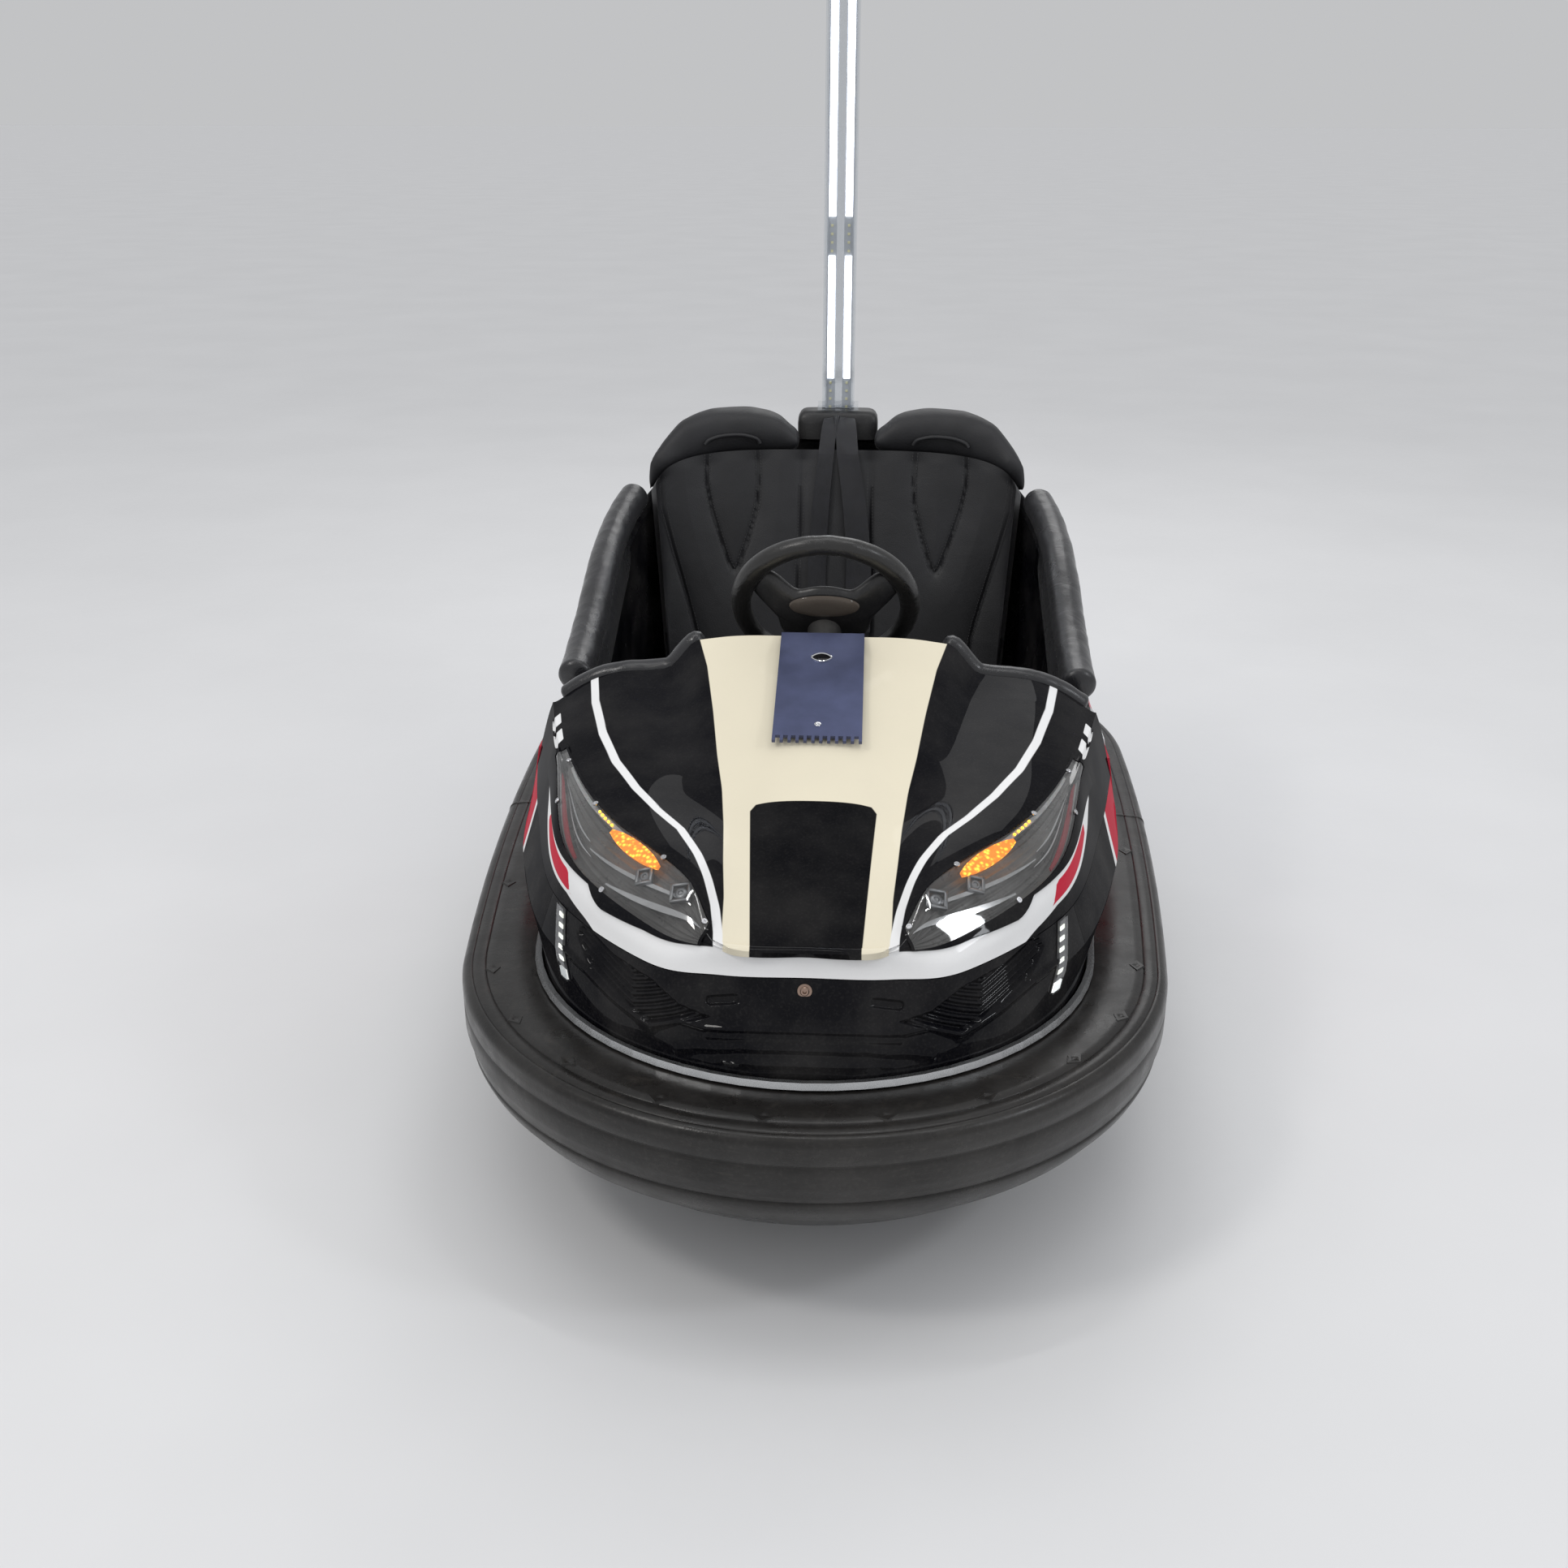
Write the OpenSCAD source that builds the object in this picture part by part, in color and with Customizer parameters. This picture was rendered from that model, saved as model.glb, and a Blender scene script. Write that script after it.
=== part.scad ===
// Two-seat fairground bumper car with a tall lamp pole
// Front of the car towards -Y, ground at z = 0, origin under the middle of the bumper ring

/* [Bumper ring] */
// Length over the rubber ring
bumper_len = 1960; // [1900:10:2040]
// Width over the rubber ring
bumper_w = 1166; // [1150:2:1190]
// Radius of the ring round the nose
nose_r = 530; // [515:5:545]
// Depth of the rubber from its outer edge to the steel rim
rubber_t = 120; // [112:2:126]
// Height of the rubber
rubber_h = 213; // [200:1:225]
// Height of the rubber's underside above the ground
ring_z = 112; // [100:1:125]
// Wall of the steel rim channel
rim_t = 6; // [4:0.5:8]
// Flange width of the steel rim channel
rim_flange = 34; // [26:1:40]

/* [Body shell] */
// Overhang of the body past the rubber's inner edge at the dashboard
side_over = 16; // [8:1:24]
// Distance of the bonnet's front behind the rubber's inner edge
nose_back = 27; // [20:1:34]
// Height of the bonnet above the sill
bonnet_h = 380; // [360:2:390]
// Wall of the moulded shells
shell_t = 6; // [4:0.5:8]
// Place of the dashboard line ahead of the middle
dash_y = -130; // [-140:1:-120]
// Depth of the lamp pockets
pocket_d = 22; // [16:1:26]
// Wall of the cockpit tub
tub_t = 46; // [36:1:52]
// Height of the tub's rim at the side entry
rim_low_z = 545; // [537:1:555]
// Height of the tub's rim behind the heads
rim_high_z = 850; // [840:1:860]
// Overhang of the body's tail past the rubber's inner edge
tail_over = 10; // [4:1:16]

/* [Seat] */
// Gap between the bench and the tub's walls
bench_room = 16; // [12:1:24]
// Height of the bench box
bench_h = 130; // [122:1:140]
// Wall of the bench box
bench_t = 5; // [4:0.5:7]
// Depth of the bench cushion
cushion_l = 400; // [385:1:405]
// Thickness of the bench cushion
cushion_t = 90; // [75:1:100]
// Thickness of the backrest
back_t = 60; // [50:1:66]
// Height of the backrest's upper seam above the ground
back_top_z = 846; // [836:1:849]
// Lean of the backrest, in degrees
back_lean = 16.7; // [15:0.1:17]
// Height of the headrests above the ground
headrest_z = 925; // [905:1:945]
// Thickness of the side pads
pad_t = 62; // [50:1:70]

/* [Chassis] */
// Thickness of the floor pan
floor_t = 4; // [3:0.5:6]
// Width of the frame tubes
tube_w = 40; // [34:1:46]
// Height of the frame tubes
tube_h = 30; // [24:1:34]
// Distance of a frame rail's middle inside a rear wheel's middle
rail_in = 78; // [74:1:88]

/* [Drive unit] */
// Distance of the swivel behind the ring's front edge
swivel_back = 360; // [354:1:368]
// Diameter of the drive wheel
drive_d = 220; // [206:2:226]
// Width of the drive wheel
drive_w = 60; // [50:1:64]
// Radius of the swivel spindle
spindle_r = 20; // [16:0.5:24]
// Diameter of the drive motor
motor_d = 110; // [96:1:116]
// Length of the drive motor
motor_l = 92; // [80:1:100]

/* [Rear wheels] */
// Diameter of a rear wheel
rear_d = 200; // [190:2:210]
// Width of a rear wheel
rear_w = 50; // [42:1:56]
// Distance of the rear axle ahead of the ring's rear edge
axle_back = 480; // [470:1:490]
// Distance of a rear wheel's middle inside the bench's side
rear_in = 42; // [38:1:46]
// Radius of a stub axle
axle_r = 10; // [8:0.5:12]

/* [Steering] */
// Diameter of the steering wheel
wheel_d = 312; // [300:2:326]
// Thickness of the steering wheel's grip
grip_d = 29; // [24:1:32]
// Height of the steering wheel's centre
wheel_z = 727; // [720:1:736]
// Distance of the steering wheel's centre behind the dashboard line
wheel_back = 115; // [110:1:125]
// Rise of the steering shaft above the level, in degrees
wheel_tilt = 31.5; // [29:0.5:34]
// Radius of the steering shaft
shaft_r = 10; // [8:0.5:12]
// Outer radius of the steering column
column_r = 28; // [24:1:32]

/* [Lamp pole] */
// Width of the clear pole
pole_w = 67; // [60:1:72]
// Depth of the clear pole
pole_d = 40; // [34:1:46]
// Wall of the clear pole
pole_t = 3; // [2:0.5:4]
// Height of the pole's top
pole_top_z = 2120; // [2000:10:2200]
// Distance of the pole's middle ahead of the body's tail
pole_back = 38; // [36:1:42]

/* [Fits] */
// Running clearance of a shaft in its bore
run_gap = 0.05; // [0.02:0.01:0.09]
// Clearance between parts that are bolted or laid on each other
seat_gap = 0.3; // [0.2:0.05:0.5]
// Clearance between moving parts and what stands beside them
side_gap = 6; // [5:0.5:8]

/* [Hidden] */

// Height of the rim channel's lower and upper flange inside the rubber's edges
rim_foot = 4;
rim_head = 14;
rear_r = bumper_w / 2;
nose_cy = nose_r - bumper_len / 2;
tail_cy = bumper_len / 2 - rear_r;
span = tail_cy - nose_cy;
// The flank arc leaves the larger end arc at its widest point and meets the smaller one at flank_a
big_r = max(rear_r, nose_r);
small_r = min(rear_r, nose_r);
flank_r = (span * span + big_r * big_r - small_r * small_r) / (2 * max(big_r - small_r, 0.01));
flank_a = asin(span / (flank_r - small_r));
flank_cx = big_r - flank_r;
flank_cy = rear_r > nose_r ? tail_cy : nose_cy;
nose_a = rear_r > nose_r ? flank_a : 0;
tail_a = rear_r > nose_r ? 0 : flank_a;
rubber_top = ring_z + rubber_h;
sill_z = rubber_top + seat_gap;
// Depth at which pieces clear the rim's web
rim_in = rubber_t + 2 * seat_gap + rim_t + 0.8;
frame_z = ring_z + rim_foot + rim_t + seat_gap;
floor_z = frame_z + tube_h + seat_gap;
floor_top = floor_z + floor_t;

function unit(v) = v / norm(v);
function mix(a, b, t) = a + (b - a) * t;
function arc(c, r, a0, a1, n) = [for (i = [0:n]) let(a = a0 + (a1 - a0) * i / n) c + r * [cos(a), sin(a)]];

// Half width of a curve that runs at depth d inside the ring's outer edge
function ring_x(y, d) =
    y < nose_cy - (nose_r - d) * sin(nose_a) ? sqrt(max(0, pow(nose_r - d, 2) - pow(y - nose_cy, 2)))
    : y < tail_cy + (rear_r - d) * sin(tail_a) ? flank_cx + sqrt(pow(flank_r - d, 2) - pow(y - flank_cy, 2))
    : sqrt(max(0, pow(rear_r - d, 2) - pow(y - tail_cy, 2)));

// Places that follow the ring
body_half_w = ring_x(dash_y, rubber_t) + side_over;
bonnet_len = bumper_len / 2 - rubber_t - nose_back + dash_y;
tail_y = bumper_len / 2 - rubber_t + tail_over;
swivel_y = swivel_back - bumper_len / 2;
rear_y = bumper_len / 2 - axle_back;
wheel_y = dash_y + wheel_back;
pole_y = tail_y - pole_back;
bench_back = 720;
cushion_y = tail_y - bench_back;
bench_w = 2 * (ring_x(cushion_y + cushion_l + 40, rim_in + rim_flange + 2 + shell_t) - bench_room);
rear_x = bench_w / 2 - rear_in;
rail_x = rear_x - rail_in;

// Stations round the ring: columns centre x, centre y, radius, direction of the outward normal
nose_steps = 30;
flank_steps = 5;
tail_steps = 32;
ring_stations = concat(
    [for (i = [0:nose_steps]) [0, nose_cy, nose_r, 180 + nose_a + (180 - 2 * nose_a) * i / nose_steps]],
    [for (i = [1:flank_steps - 1]) [flank_cx, flank_cy, flank_r, -nose_a + (nose_a + tail_a) * i / flank_steps]],
    [for (i = [0:tail_steps]) [0, tail_cy, rear_r, tail_a + (180 - 2 * tail_a) * i / tail_steps]],
    [for (i = [1:flank_steps - 1]) [-flank_cx, flank_cy, flank_r, 180 - tail_a + (nose_a + tail_a) * i / flank_steps]]);
function ring_pt(s, d, z) = [s[0] + (s[2] - d) * cos(s[3]), s[1] + (s[2] - d) * sin(s[3]), z];
// A profile of [depth inside the outer edge, height] points, led round the whole ring
module round_ring(profile) {
    n = len(ring_stations);
    m = len(profile);
    function at(i, j) = (i % n) * m + j % m;
    polyhedron([for (s = ring_stations) for (p = profile) ring_pt(s, p[0], p[1])],
        [for (i = [0:n - 1]) for (j = [0:m - 1]) each [[at(i, j), at(i, j + 1), at(i + 1, j + 1)], [at(i, j), at(i + 1, j + 1), at(i + 1, j)]]],
        convexity = 8);
}

// Grid helpers for lofted panels, a grid being a list of rows of points
function crom(a, b, c, d, t) =
    0.5 * (2 * b + (c - a) * t + (2 * a - 5 * b + 4 * c - d) * t * t + (3 * b - a - 3 * c + d) * t * t * t);
function spline(p, u) =
    let(n = len(p) - 1, i = min(floor(u), n - 1), t = u - i)
    crom(p[max(i - 1, 0)], p[i], p[i + 1], p[min(i + 2, n)], t);
function normal_at(g, i, j) =
    let(n = len(g) - 1, m = len(g[0]) - 1)
    unit(cross(g[min(i + 1, n)][j] - g[max(i - 1, 0)][j], g[i][min(j + 1, m)] - g[i][max(j - 1, 0)]));
function shifted(g, t) = [for (i = [0:len(g) - 1]) [for (j = [0:len(g[0]) - 1]) g[i][j] + t * normal_at(g, i, j)]];
function flat(g) = [for (r = g) for (p = r) p];

// Closed panel between two grids of the same size, the first grid's normals pointing out
module panel(out, inn) {
    n = len(out) - 1;
    m = len(out[0]) - 1;
    k = (n + 1) * (m + 1);
    function at(i, j) = i * (m + 1) + j;
    function two(a, b, c, d) = [[a, b, c], [a, c, d]];
    faces = concat(
        [for (i = [0:n - 1]) for (j = [0:m - 1]) each two(at(i, j), at(i, j + 1), at(i + 1, j + 1), at(i + 1, j))],
        [for (i = [0:n - 1]) for (j = [0:m - 1]) each two(k + at(i, j), k + at(i + 1, j), k + at(i + 1, j + 1), k + at(i, j + 1))],
        [for (i = [0:n - 1]) each two(at(i, 0), at(i + 1, 0), k + at(i + 1, 0), k + at(i, 0))],
        [for (i = [0:n - 1]) each two(at(i + 1, m), at(i, m), k + at(i, m), k + at(i + 1, m))],
        [for (j = [0:m - 1]) each two(at(0, j + 1), at(0, j), k + at(0, j), k + at(0, j + 1))],
        [for (j = [0:m - 1]) each two(at(n, j), at(n, j + 1), k + at(n, j + 1), k + at(n, j))]);
    polyhedron(concat(flat(out), flat(inn)), faces, convexity = 8);
}

// Closed tube through rings of equal length
module tube(rings) {
    n = len(rings) - 1;
    m = len(rings[0]);
    function at(i, j) = i * m + j % m;
    faces = concat(
        [for (i = [0:n - 1]) for (j = [0:m - 1]) each [[at(i, j), at(i, j + 1), at(i + 1, j + 1)], [at(i, j), at(i + 1, j + 1), at(i + 1, j)]]],
        [for (j = [1:m - 2]) [0, j + 1, j]],
        [for (j = [1:m - 2]) [at(n, 0), at(n, j), at(n, j + 1)]]);
    polyhedron(flat(rings), faces, convexity = 8);
}

// Right half of the bonnet: one row for each station from the nose to the dashboard,
// columns belt, lip_low, lip_high, lamp_in, mid, ridge, notch, each [x, y ahead of the dash, z over the sill]
drawn = [460, 703, 380];
stations = [
    [[0, 703, 70], [0, 670, 127], [0, 662, 160], [0, 648, 167], [0, 470, 235], [0, 220, 316], [0, 66, 356]],
    [[115, 696, 70], [112, 668, 127], [114, 658, 161], [110, 642, 172], [70, 455, 237], [34, 213, 317], [12, 64, 357]],
    [[235, 640, 70], [215, 640, 130], [205, 622, 165], [165, 565, 224], [130, 400, 243], [70, 190, 320], [28, 54, 359]],
    [[385, 465, 74], [364, 470, 138], [343, 472, 200], [296, 415, 250], [215, 300, 275], [120, 140, 332], [44, 36, 363]],
    [[466, 210, 80], [436, 220, 150], [398, 240, 250], [380, 225, 262], [285, 150, 316], [155, 70, 352], [50, 18, 368]],
    [[494, 0, 85], [480, 0, 150], [452, 0, 250], [432, 0, 268], [320, 0, 345], [165, 0, 378], [52, 0, 382]]];
scaled = [for (s = stations) [for (p = s) [p[0] * body_half_w / drawn[0], dash_y - p[1] * bonnet_len / drawn[1],
                                           sill_z + p[2] * bonnet_h / drawn[2]]]];

// Point of the bonnet at station u, 0 at the nose and 5 at the dash, and level v, 0 at the belt
function edge_line(v, u) =
    let(line = [for (s = scaled) spline(s, v)], back = [-line[1][0], line[1][1], line[1][2]])
    spline(concat([back], line), u + 1);
function side_of(p, left) = left ? [-p[0], p[1], p[2]] : p;
// Signed station: negative on the left side
function skin(u, v) = side_of(edge_line(v, abs(u)), u < 0);
function sill_pt(u) =
    let(p = edge_line(0, abs(u)), y = max(nose_cy - nose_r + rubber_t + 0.01, p[1] - 20 * (1 - abs(u) / 5)))
    [(u < 0 ? -1 : 1) * max(0, ring_x(y, rubber_t + 2)), y, sill_z];

u_steps = [-5, -4.7, -4.4, -4.1, -3.8, -3.5, -3.25, -3.05, -2.9, -2.7, -2.45, -2.2, -1.95, -1.7, -1.45, -1.25, -1, -0.75,
           -0.5, -0.25, 0, 0.25, 0.5, 0.75, 1, 1.25, 1.45, 1.7, 1.95, 2.2, 2.45, 2.7, 2.9, 3.05, 3.25, 3.5, 3.8, 4.1,
           4.4, 4.7, 5];
last_u = len(u_steps) - 1;
lamp_u = [1.25, 4.1];
lamp_i = [for (i = [0:last_u]) if (u_steps[i] >= lamp_u[0] && u_steps[i] <= lamp_u[1]) i];
function lamp_bump(u) = let(q = (abs(u) - lamp_u[0]) / (lamp_u[1] - lamp_u[0])) q <= 0 || q >= 1 ? 0 : sqrt(sin(180 * q));

// Levels of the shell, each with its share of the lamp pocket's depth
shell_levels = [[1, 0], [1.5, 0], [2, 0], [2.1, 1], [2.5, 1], [2.9, 1], [3, 0], [3.5, 0], [4, 0], [4.5, 0], [5, 0], [5.5, 0], [6, 0]];
shell_base = [for (u = u_steps) [for (l = shell_levels) skin(u, l[0])]];
shell_out = [for (i = [0:last_u]) [for (j = [0:len(shell_levels) - 1])
    shell_base[i][j] - pocket_d * shell_levels[j][1] * lamp_bump(u_steps[i]) * normal_at(shell_base, i, j)]];
// Part of a grid between two rows and two columns
function piece(g, i0, i1, j0, j1) = [for (i = [i0:i1]) [for (j = [j0:j1]) g[i][j]]];

module front_shell() {
    color("ivory") panel(shell_out, shifted(shell_out, -shell_t));
}

// Strip under the shell's lip, from the rubber up
front_split = 3.05;
lip_drop = 1.5;
low_base = [for (u = u_steps)
    let(foot = sill_pt(u), rise = foot + [0, 0, 16], belt = skin(u, 0), top = skin(u, 1) - [0, 0, lip_drop])
    [foot, rise, mix(rise, belt, 0.5), belt, mix(belt, top, 0.5), top]];
low_in = shifted(low_base, -shell_t);
function u_index(u) = search(u, u_steps)[0];
module low_strip(u0, u1, t_out, t_in, j0, j1) {
    out = t_out == 0 ? low_base : shifted(low_base, t_out);
    panel(piece(out, u_index(u0), u_index(u1), j0, j1), piece(shifted(low_base, t_in), u_index(u0), u_index(u1), j0, j1));
}
// Raised forms of the lower nose: columns first station, last station, lower row, upper row, rise of the rows at the ends, height
nose_forms = concat([[-0.5, 0.5, 3.2, 4.8, 0, 2], [-1.45, 1.45, 1.1, 1.4, 0, 4], [-1.7, 1.7, 2.1, 2.35, 0, 4], [-1.7, 1.7, 2.65, 2.9, 0, 4]],
    [for (s = [-1, 1]) for (q = [1.6:0.7:3.7]) [s < 0 ? -2.45 : 1.95, s < 0 ? -1.95 : 2.45, q, q + 0.3, 0.5, 4]]);
function row_pt(r, q) = let(j = min(floor(q), 4)) mix(r[j], r[j + 1], q - j);
module nose_form(f) {
    i0 = u_index(f[0]);
    i1 = u_index(f[1]);
    function rows(g) = [for (i = [i0:i1]) let(up = f[4] * (abs(u_steps[i]) - 1.95) / 0.5) [row_pt(g[i], f[2] + up), row_pt(g[i], f[3] + up)]];
    panel(rows(shifted(low_base, f[5])), rows(shifted(low_base, -shell_t / 2)));
}
module lower_nose() {
    color("black") {
        low_strip(-front_split, front_split, 0, -shell_t, 0, 5);
        for (f = nose_forms) nose_form(f);
    }
}
module skirt(left) {
    color("crimson") translate([left ? -seat_gap : seat_gap, 2 * seat_gap, 0])
        low_strip(left ? -5 : front_split, left ? -front_split : 5, 0, -shell_t, 0, 5);
}
module skirt_left() skirt(true);
module skirt_right() skirt(false);

// Lamps
function side_span(left, u0, u1) = left ? [u_index(-u1), u_index(-u0)] : [u_index(u0), u_index(u1)];
module lens(left) {
    a = side_span(left, lamp_u[0], lamp_u[1]);
    color("lightsteelblue", 0.5) panel(piece(shifted(shell_base, seat_gap + 2.5), a[0], a[1], 2, 6),
        piece(shifted(shell_base, seat_gap), a[0], a[1], 2, 6));
}
module headlamp_lens_left() lens(true);
module headlamp_lens_right() lens(false);
module lamp_unit(left) {
    a = side_span(left, 1.45, 3.8);
    s = left ? -1 : 1;
    color("dimgray") {
        panel(piece(shifted(shell_out, seat_gap + 3), a[0], a[1], 3, 5), piece(shifted(shell_out, seat_gap), a[0], a[1], 3, 5));
        for (u = [1.95, 2.7]) {
            i = u_index(s * u);
            c = shell_out[i][4];
            n = normal_at(shell_out, i, 4);
            translate(c) rotate([0, acos(n[2]), atan2(n[1], n[0])]) translate([0, 0, 2]) cylinder(r = 15, h = pocket_d - 8, $fn = 32);
        }
    }
}
module headlamp_unit_left() lamp_unit(true);
module headlamp_unit_right() lamp_unit(false);
module day_lamp(left) {
    color("white") low_strip(left ? -2.9 : 2.7, left ? -2.7 : 2.9, seat_gap + 5, seat_gap, 2, 5);
}
module day_lamp_left() day_lamp(true);
module day_lamp_right() day_lamp(false);

// Token panel on the bonnet
coin_w = 134;
coin_l = 274;
coin_t = 5;
coin_fins = 12;
coin_rise = 14;
coin_gap = 4;
module coin_panel() {
    rear = skin(5, 6);
    ahead = edge_line(4.85, 0);
    top = [0, rear[1] - coin_gap, rear[2] + coin_gap - 1];
    coin_slope = atan2(top[2] - ahead[2] - coin_gap - 1, top[1] - ahead[1]);
    color("slategray") translate(top) rotate([coin_slope, 0, 0]) difference() {
        union() {
            translate([-coin_w / 2, -coin_l, 0]) cube([coin_w, coin_l, coin_t]);
            for (i = [0:coin_fins - 1])
                translate([-coin_w / 2 + i * (coin_w - coin_t) / (coin_fins - 1), -coin_l - 12, 0]) cube([coin_t, 13, coin_t]);
        }
        translate([0, -70, -1]) cylinder(r = 9, h = coin_t + 2, $fn = 48);
    }
}

// Steering
tilt_dir = [0, cos(wheel_tilt), sin(wheel_tilt)];
wheel_c = [0, wheel_y, wheel_z];
module on_shaft() translate(wheel_c) rotate([wheel_tilt - 90, 0, 0]) children();
column_top = -58;
column_len = 190;
module dash_panel() {
    t = 5;
    edge = [for (v = [3:0.25:6]) let(p = edge_line(v, 5)) [p[0] - 6, p[2] - shell_t - 6]];
    low = sill_z + 175;
    color("dimgray") difference() {
        translate([0, dash_y, 0]) rotate([90, 0, 0]) linear_extrude(t) polygon(concat([[0, low], [edge[0][0], low]], edge,
            [for (i = [len(edge) - 1:-1:0]) [-edge[i][0], edge[i][1]]], [[-edge[0][0], low]]));
        on_shaft() translate([0, 0, column_top - column_len]) cylinder(r = column_r + seat_gap, h = column_len, $fn = 64);
    }
}
module steering_column() {
    color("black") on_shaft() difference() {
        translate([0, 0, column_top - column_len]) cylinder(r = column_r, h = column_len, $fn = 64);
        translate([0, 0, column_top - column_len - 1]) cylinder(r = shaft_r + run_gap, h = column_len + 2, $fn = 64);
    }
}
hub_r = 62;
hub_z = -32;
hub_t = 12;
module steering_shaft() {
    color("gray") on_shaft() translate([0, 0, column_top - column_len - 20])
        cylinder(r = shaft_r, h = hub_z + hub_t - column_top + column_len + 20, $fn = 64);
}
module steering_rim() {
    ring_r = (wheel_d - grip_d) / 2;
    rise = atan2(-hub_z - hub_t / 2, ring_r - hub_r + 14);
    color("black") on_shaft() {
        rotate_extrude($fn = 96) translate([ring_r, 0]) circle(grip_d / 2, $fn = 32);
        difference() {
            union() {
                for (a = [90, 210, 330]) rotate([0, 0, a]) translate([hub_r - 14, 0, hub_z + hub_t / 2])
                    rotate([0, -rise, 0]) translate([0, -20, -4]) cube([(ring_r - hub_r + 14) / cos(rise), 40, 8]);
                translate([0, 0, hub_z]) cylinder(r = hub_r, h = hub_t, $fn = 64);
            }
            translate([0, 0, hub_z - 1]) cylinder(r = shaft_r + run_gap, h = hub_t + 2, $fn = 64);
        }
    }
}
module steering_hub() {
    color("darkslategray") on_shaft() translate([0, 0, hub_z + hub_t + seat_gap]) cylinder(r1 = hub_r - 22, r2 = hub_r - 30, h = 24, $fn = 64);
}

// Pads along the dashboard's edge
function pad_rings(path, r, k) =
    [for (i = [0:len(path) - 1])
        let(d = unit(path[min(i + 1, len(path) - 1)] - path[max(i - 1, 0)]), s = unit(cross(d, [0, 0, 1])), u = cross(s, d))
        [for (j = [0:k - 1]) let(a = 360 * j / k) path[i] + r * (cos(a) * s + sin(a) * u)]];
dash_pad_r = 18;
module dash_pad(left) {
    s = left ? -1 : 1;
    path = [for (v = [3:0.2:4.8]) let(p = edge_line(v, 5)) [s * p[0], p[1] + dash_pad_r + 1.9, p[2] - 6]];
    color("black") tube(pad_rings(path, dash_pad_r, 12));
}
module dash_pad_left() dash_pad(true);
module dash_pad_right() dash_pad(false);

// Tub: U-shaped wall round the cockpit, from the dash line on the right round the tail to the left
// Rise of the rim along the side: columns distance ahead of the tail, share of the rise
rim_rise = [[1000, 0], [840, 0], [750, 0.07], [613, 0.2], [540, 0.33], [400, 0.46], [215, 0.64], [70, 0.9], [0, 1]];
function rim_z(y) = rim_low_z + (rim_high_z - rim_low_z) * lookup(tail_y - y, rim_rise);
tub_y0 = dash_y + 2.2;
bend_y = cushion_y + 90;
run = 0.36;
// Plan point of the tub at s from -1 (left front) to 1 (right front), 0 at the tail, p the fullness of its corners
function tub_xy(s, half_w, reach, p) =
    let(t = 1 - abs(s))
    t < run ? [sign(s) * half_w, mix(tub_y0, bend_y, t / run)]
    : let(a = 90 * (t - run) / (1 - run))
      [sign(s) * half_w * pow(cos(a), 2 / p), bend_y + (reach - bend_y) * pow(sin(a), 2 / p)];
// Plan point that follows the ring at depth d inside its edge
function ring_xy(s, d) =
    let(y = tub_xy(s, 1, bumper_len / 2 - d, 2)[1]) [sign(s) * ring_x(y, d), y];
function at_z(p, z) = [p[0], p[1], z];
tub_steps = [for (i = [-24:24]) i / 24];
tub_full = 3;
tub_full_in = 4;
function tub_section(s) =
    let(q = tub_xy(s, body_half_w, tail_y, tub_full), top = rim_z(q[1]),
        lo = ring_xy(s, rubber_t + 2),
        belt = tub_xy(s, body_half_w + 32, tail_y + 8, tub_full),
        up = tub_xy(s, body_half_w + 6, tail_y, tub_full),
        inn = tub_xy(s, body_half_w - tub_t, tail_y - tub_t, tub_full_in),
        foot = ring_xy(s, rim_in + rim_flange + 2),
        foot_in = ring_xy(s, rim_in + rim_flange + 2 + shell_t))
    [at_z(lo, sill_z), at_z(lo, sill_z + 16), at_z(belt, sill_z + 85), at_z(mix(belt, up, 0.4), sill_z + 150),
     at_z(mix(belt, up, 0.6), sill_z + 180), at_z(up, top - 40), at_z(q, top - 8), at_z(mix(q, inn, 0.3), top),
     at_z(mix(q, inn, 0.7), top), at_z(inn, top - 8), at_z(inn, sill_z + 40), at_z(foot_in, sill_z - 20),
     at_z(foot_in, floor_top + seat_gap), at_z(foot, floor_top + seat_gap), at_z(foot, sill_z)];
tub_grid = [for (s = tub_steps) tub_section(s)];
module tub() {
    color("crimson") tube([for (r = tub_grid) [for (j = [len(r) - 1:-1:0]) r[j]]]);
}
// Plate on the tub's outside, between two places along it and two rows
module on_tub(i0, i1, j0, j1, t) {
    g = [for (i = [len(tub_grid) - 1:-1:0]) tub_grid[i]];
    n = len(tub_grid) - 1;
    panel(piece(shifted(g, seat_gap + t), n - i1, n - i0, j0, j1), piece(shifted(g, seat_gap), n - i1, n - i0, j0, j1));
}

// Side pads on the tub's rim
module side_pad(left) {
    s = left ? -1 : 1;
    ends = [0.82, 0.44];
    path = [for (i = [0:10]) let(k = s * mix(ends[0], ends[1], i / 10),
        q = mix(tub_xy(k, body_half_w, tail_y, tub_full), tub_xy(k, body_half_w - tub_t, tail_y - tub_t, tub_full_in), 0.5))
        [q[0], q[1], rim_z(q[1]) + pad_t / 2 + 4]];
    color("black") tube(pad_rings(path, pad_t / 2, 14));
}
module side_pad_left() side_pad(true);
module side_pad_right() side_pad(false);
module step_plate(left) {
    color("silver") if (left) on_tub(2, 5, 3, 5, 2.5); else on_tub(43, 46, 3, 5, 2.5);
}
module step_plate_left() step_plate(true);
module step_plate_right() step_plate(false);
module tail_lamps() {
    color("red") {
        on_tub(17, 20, 3, 4, 6);
        on_tub(28, 31, 3, 4, 6);
    }
}

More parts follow.
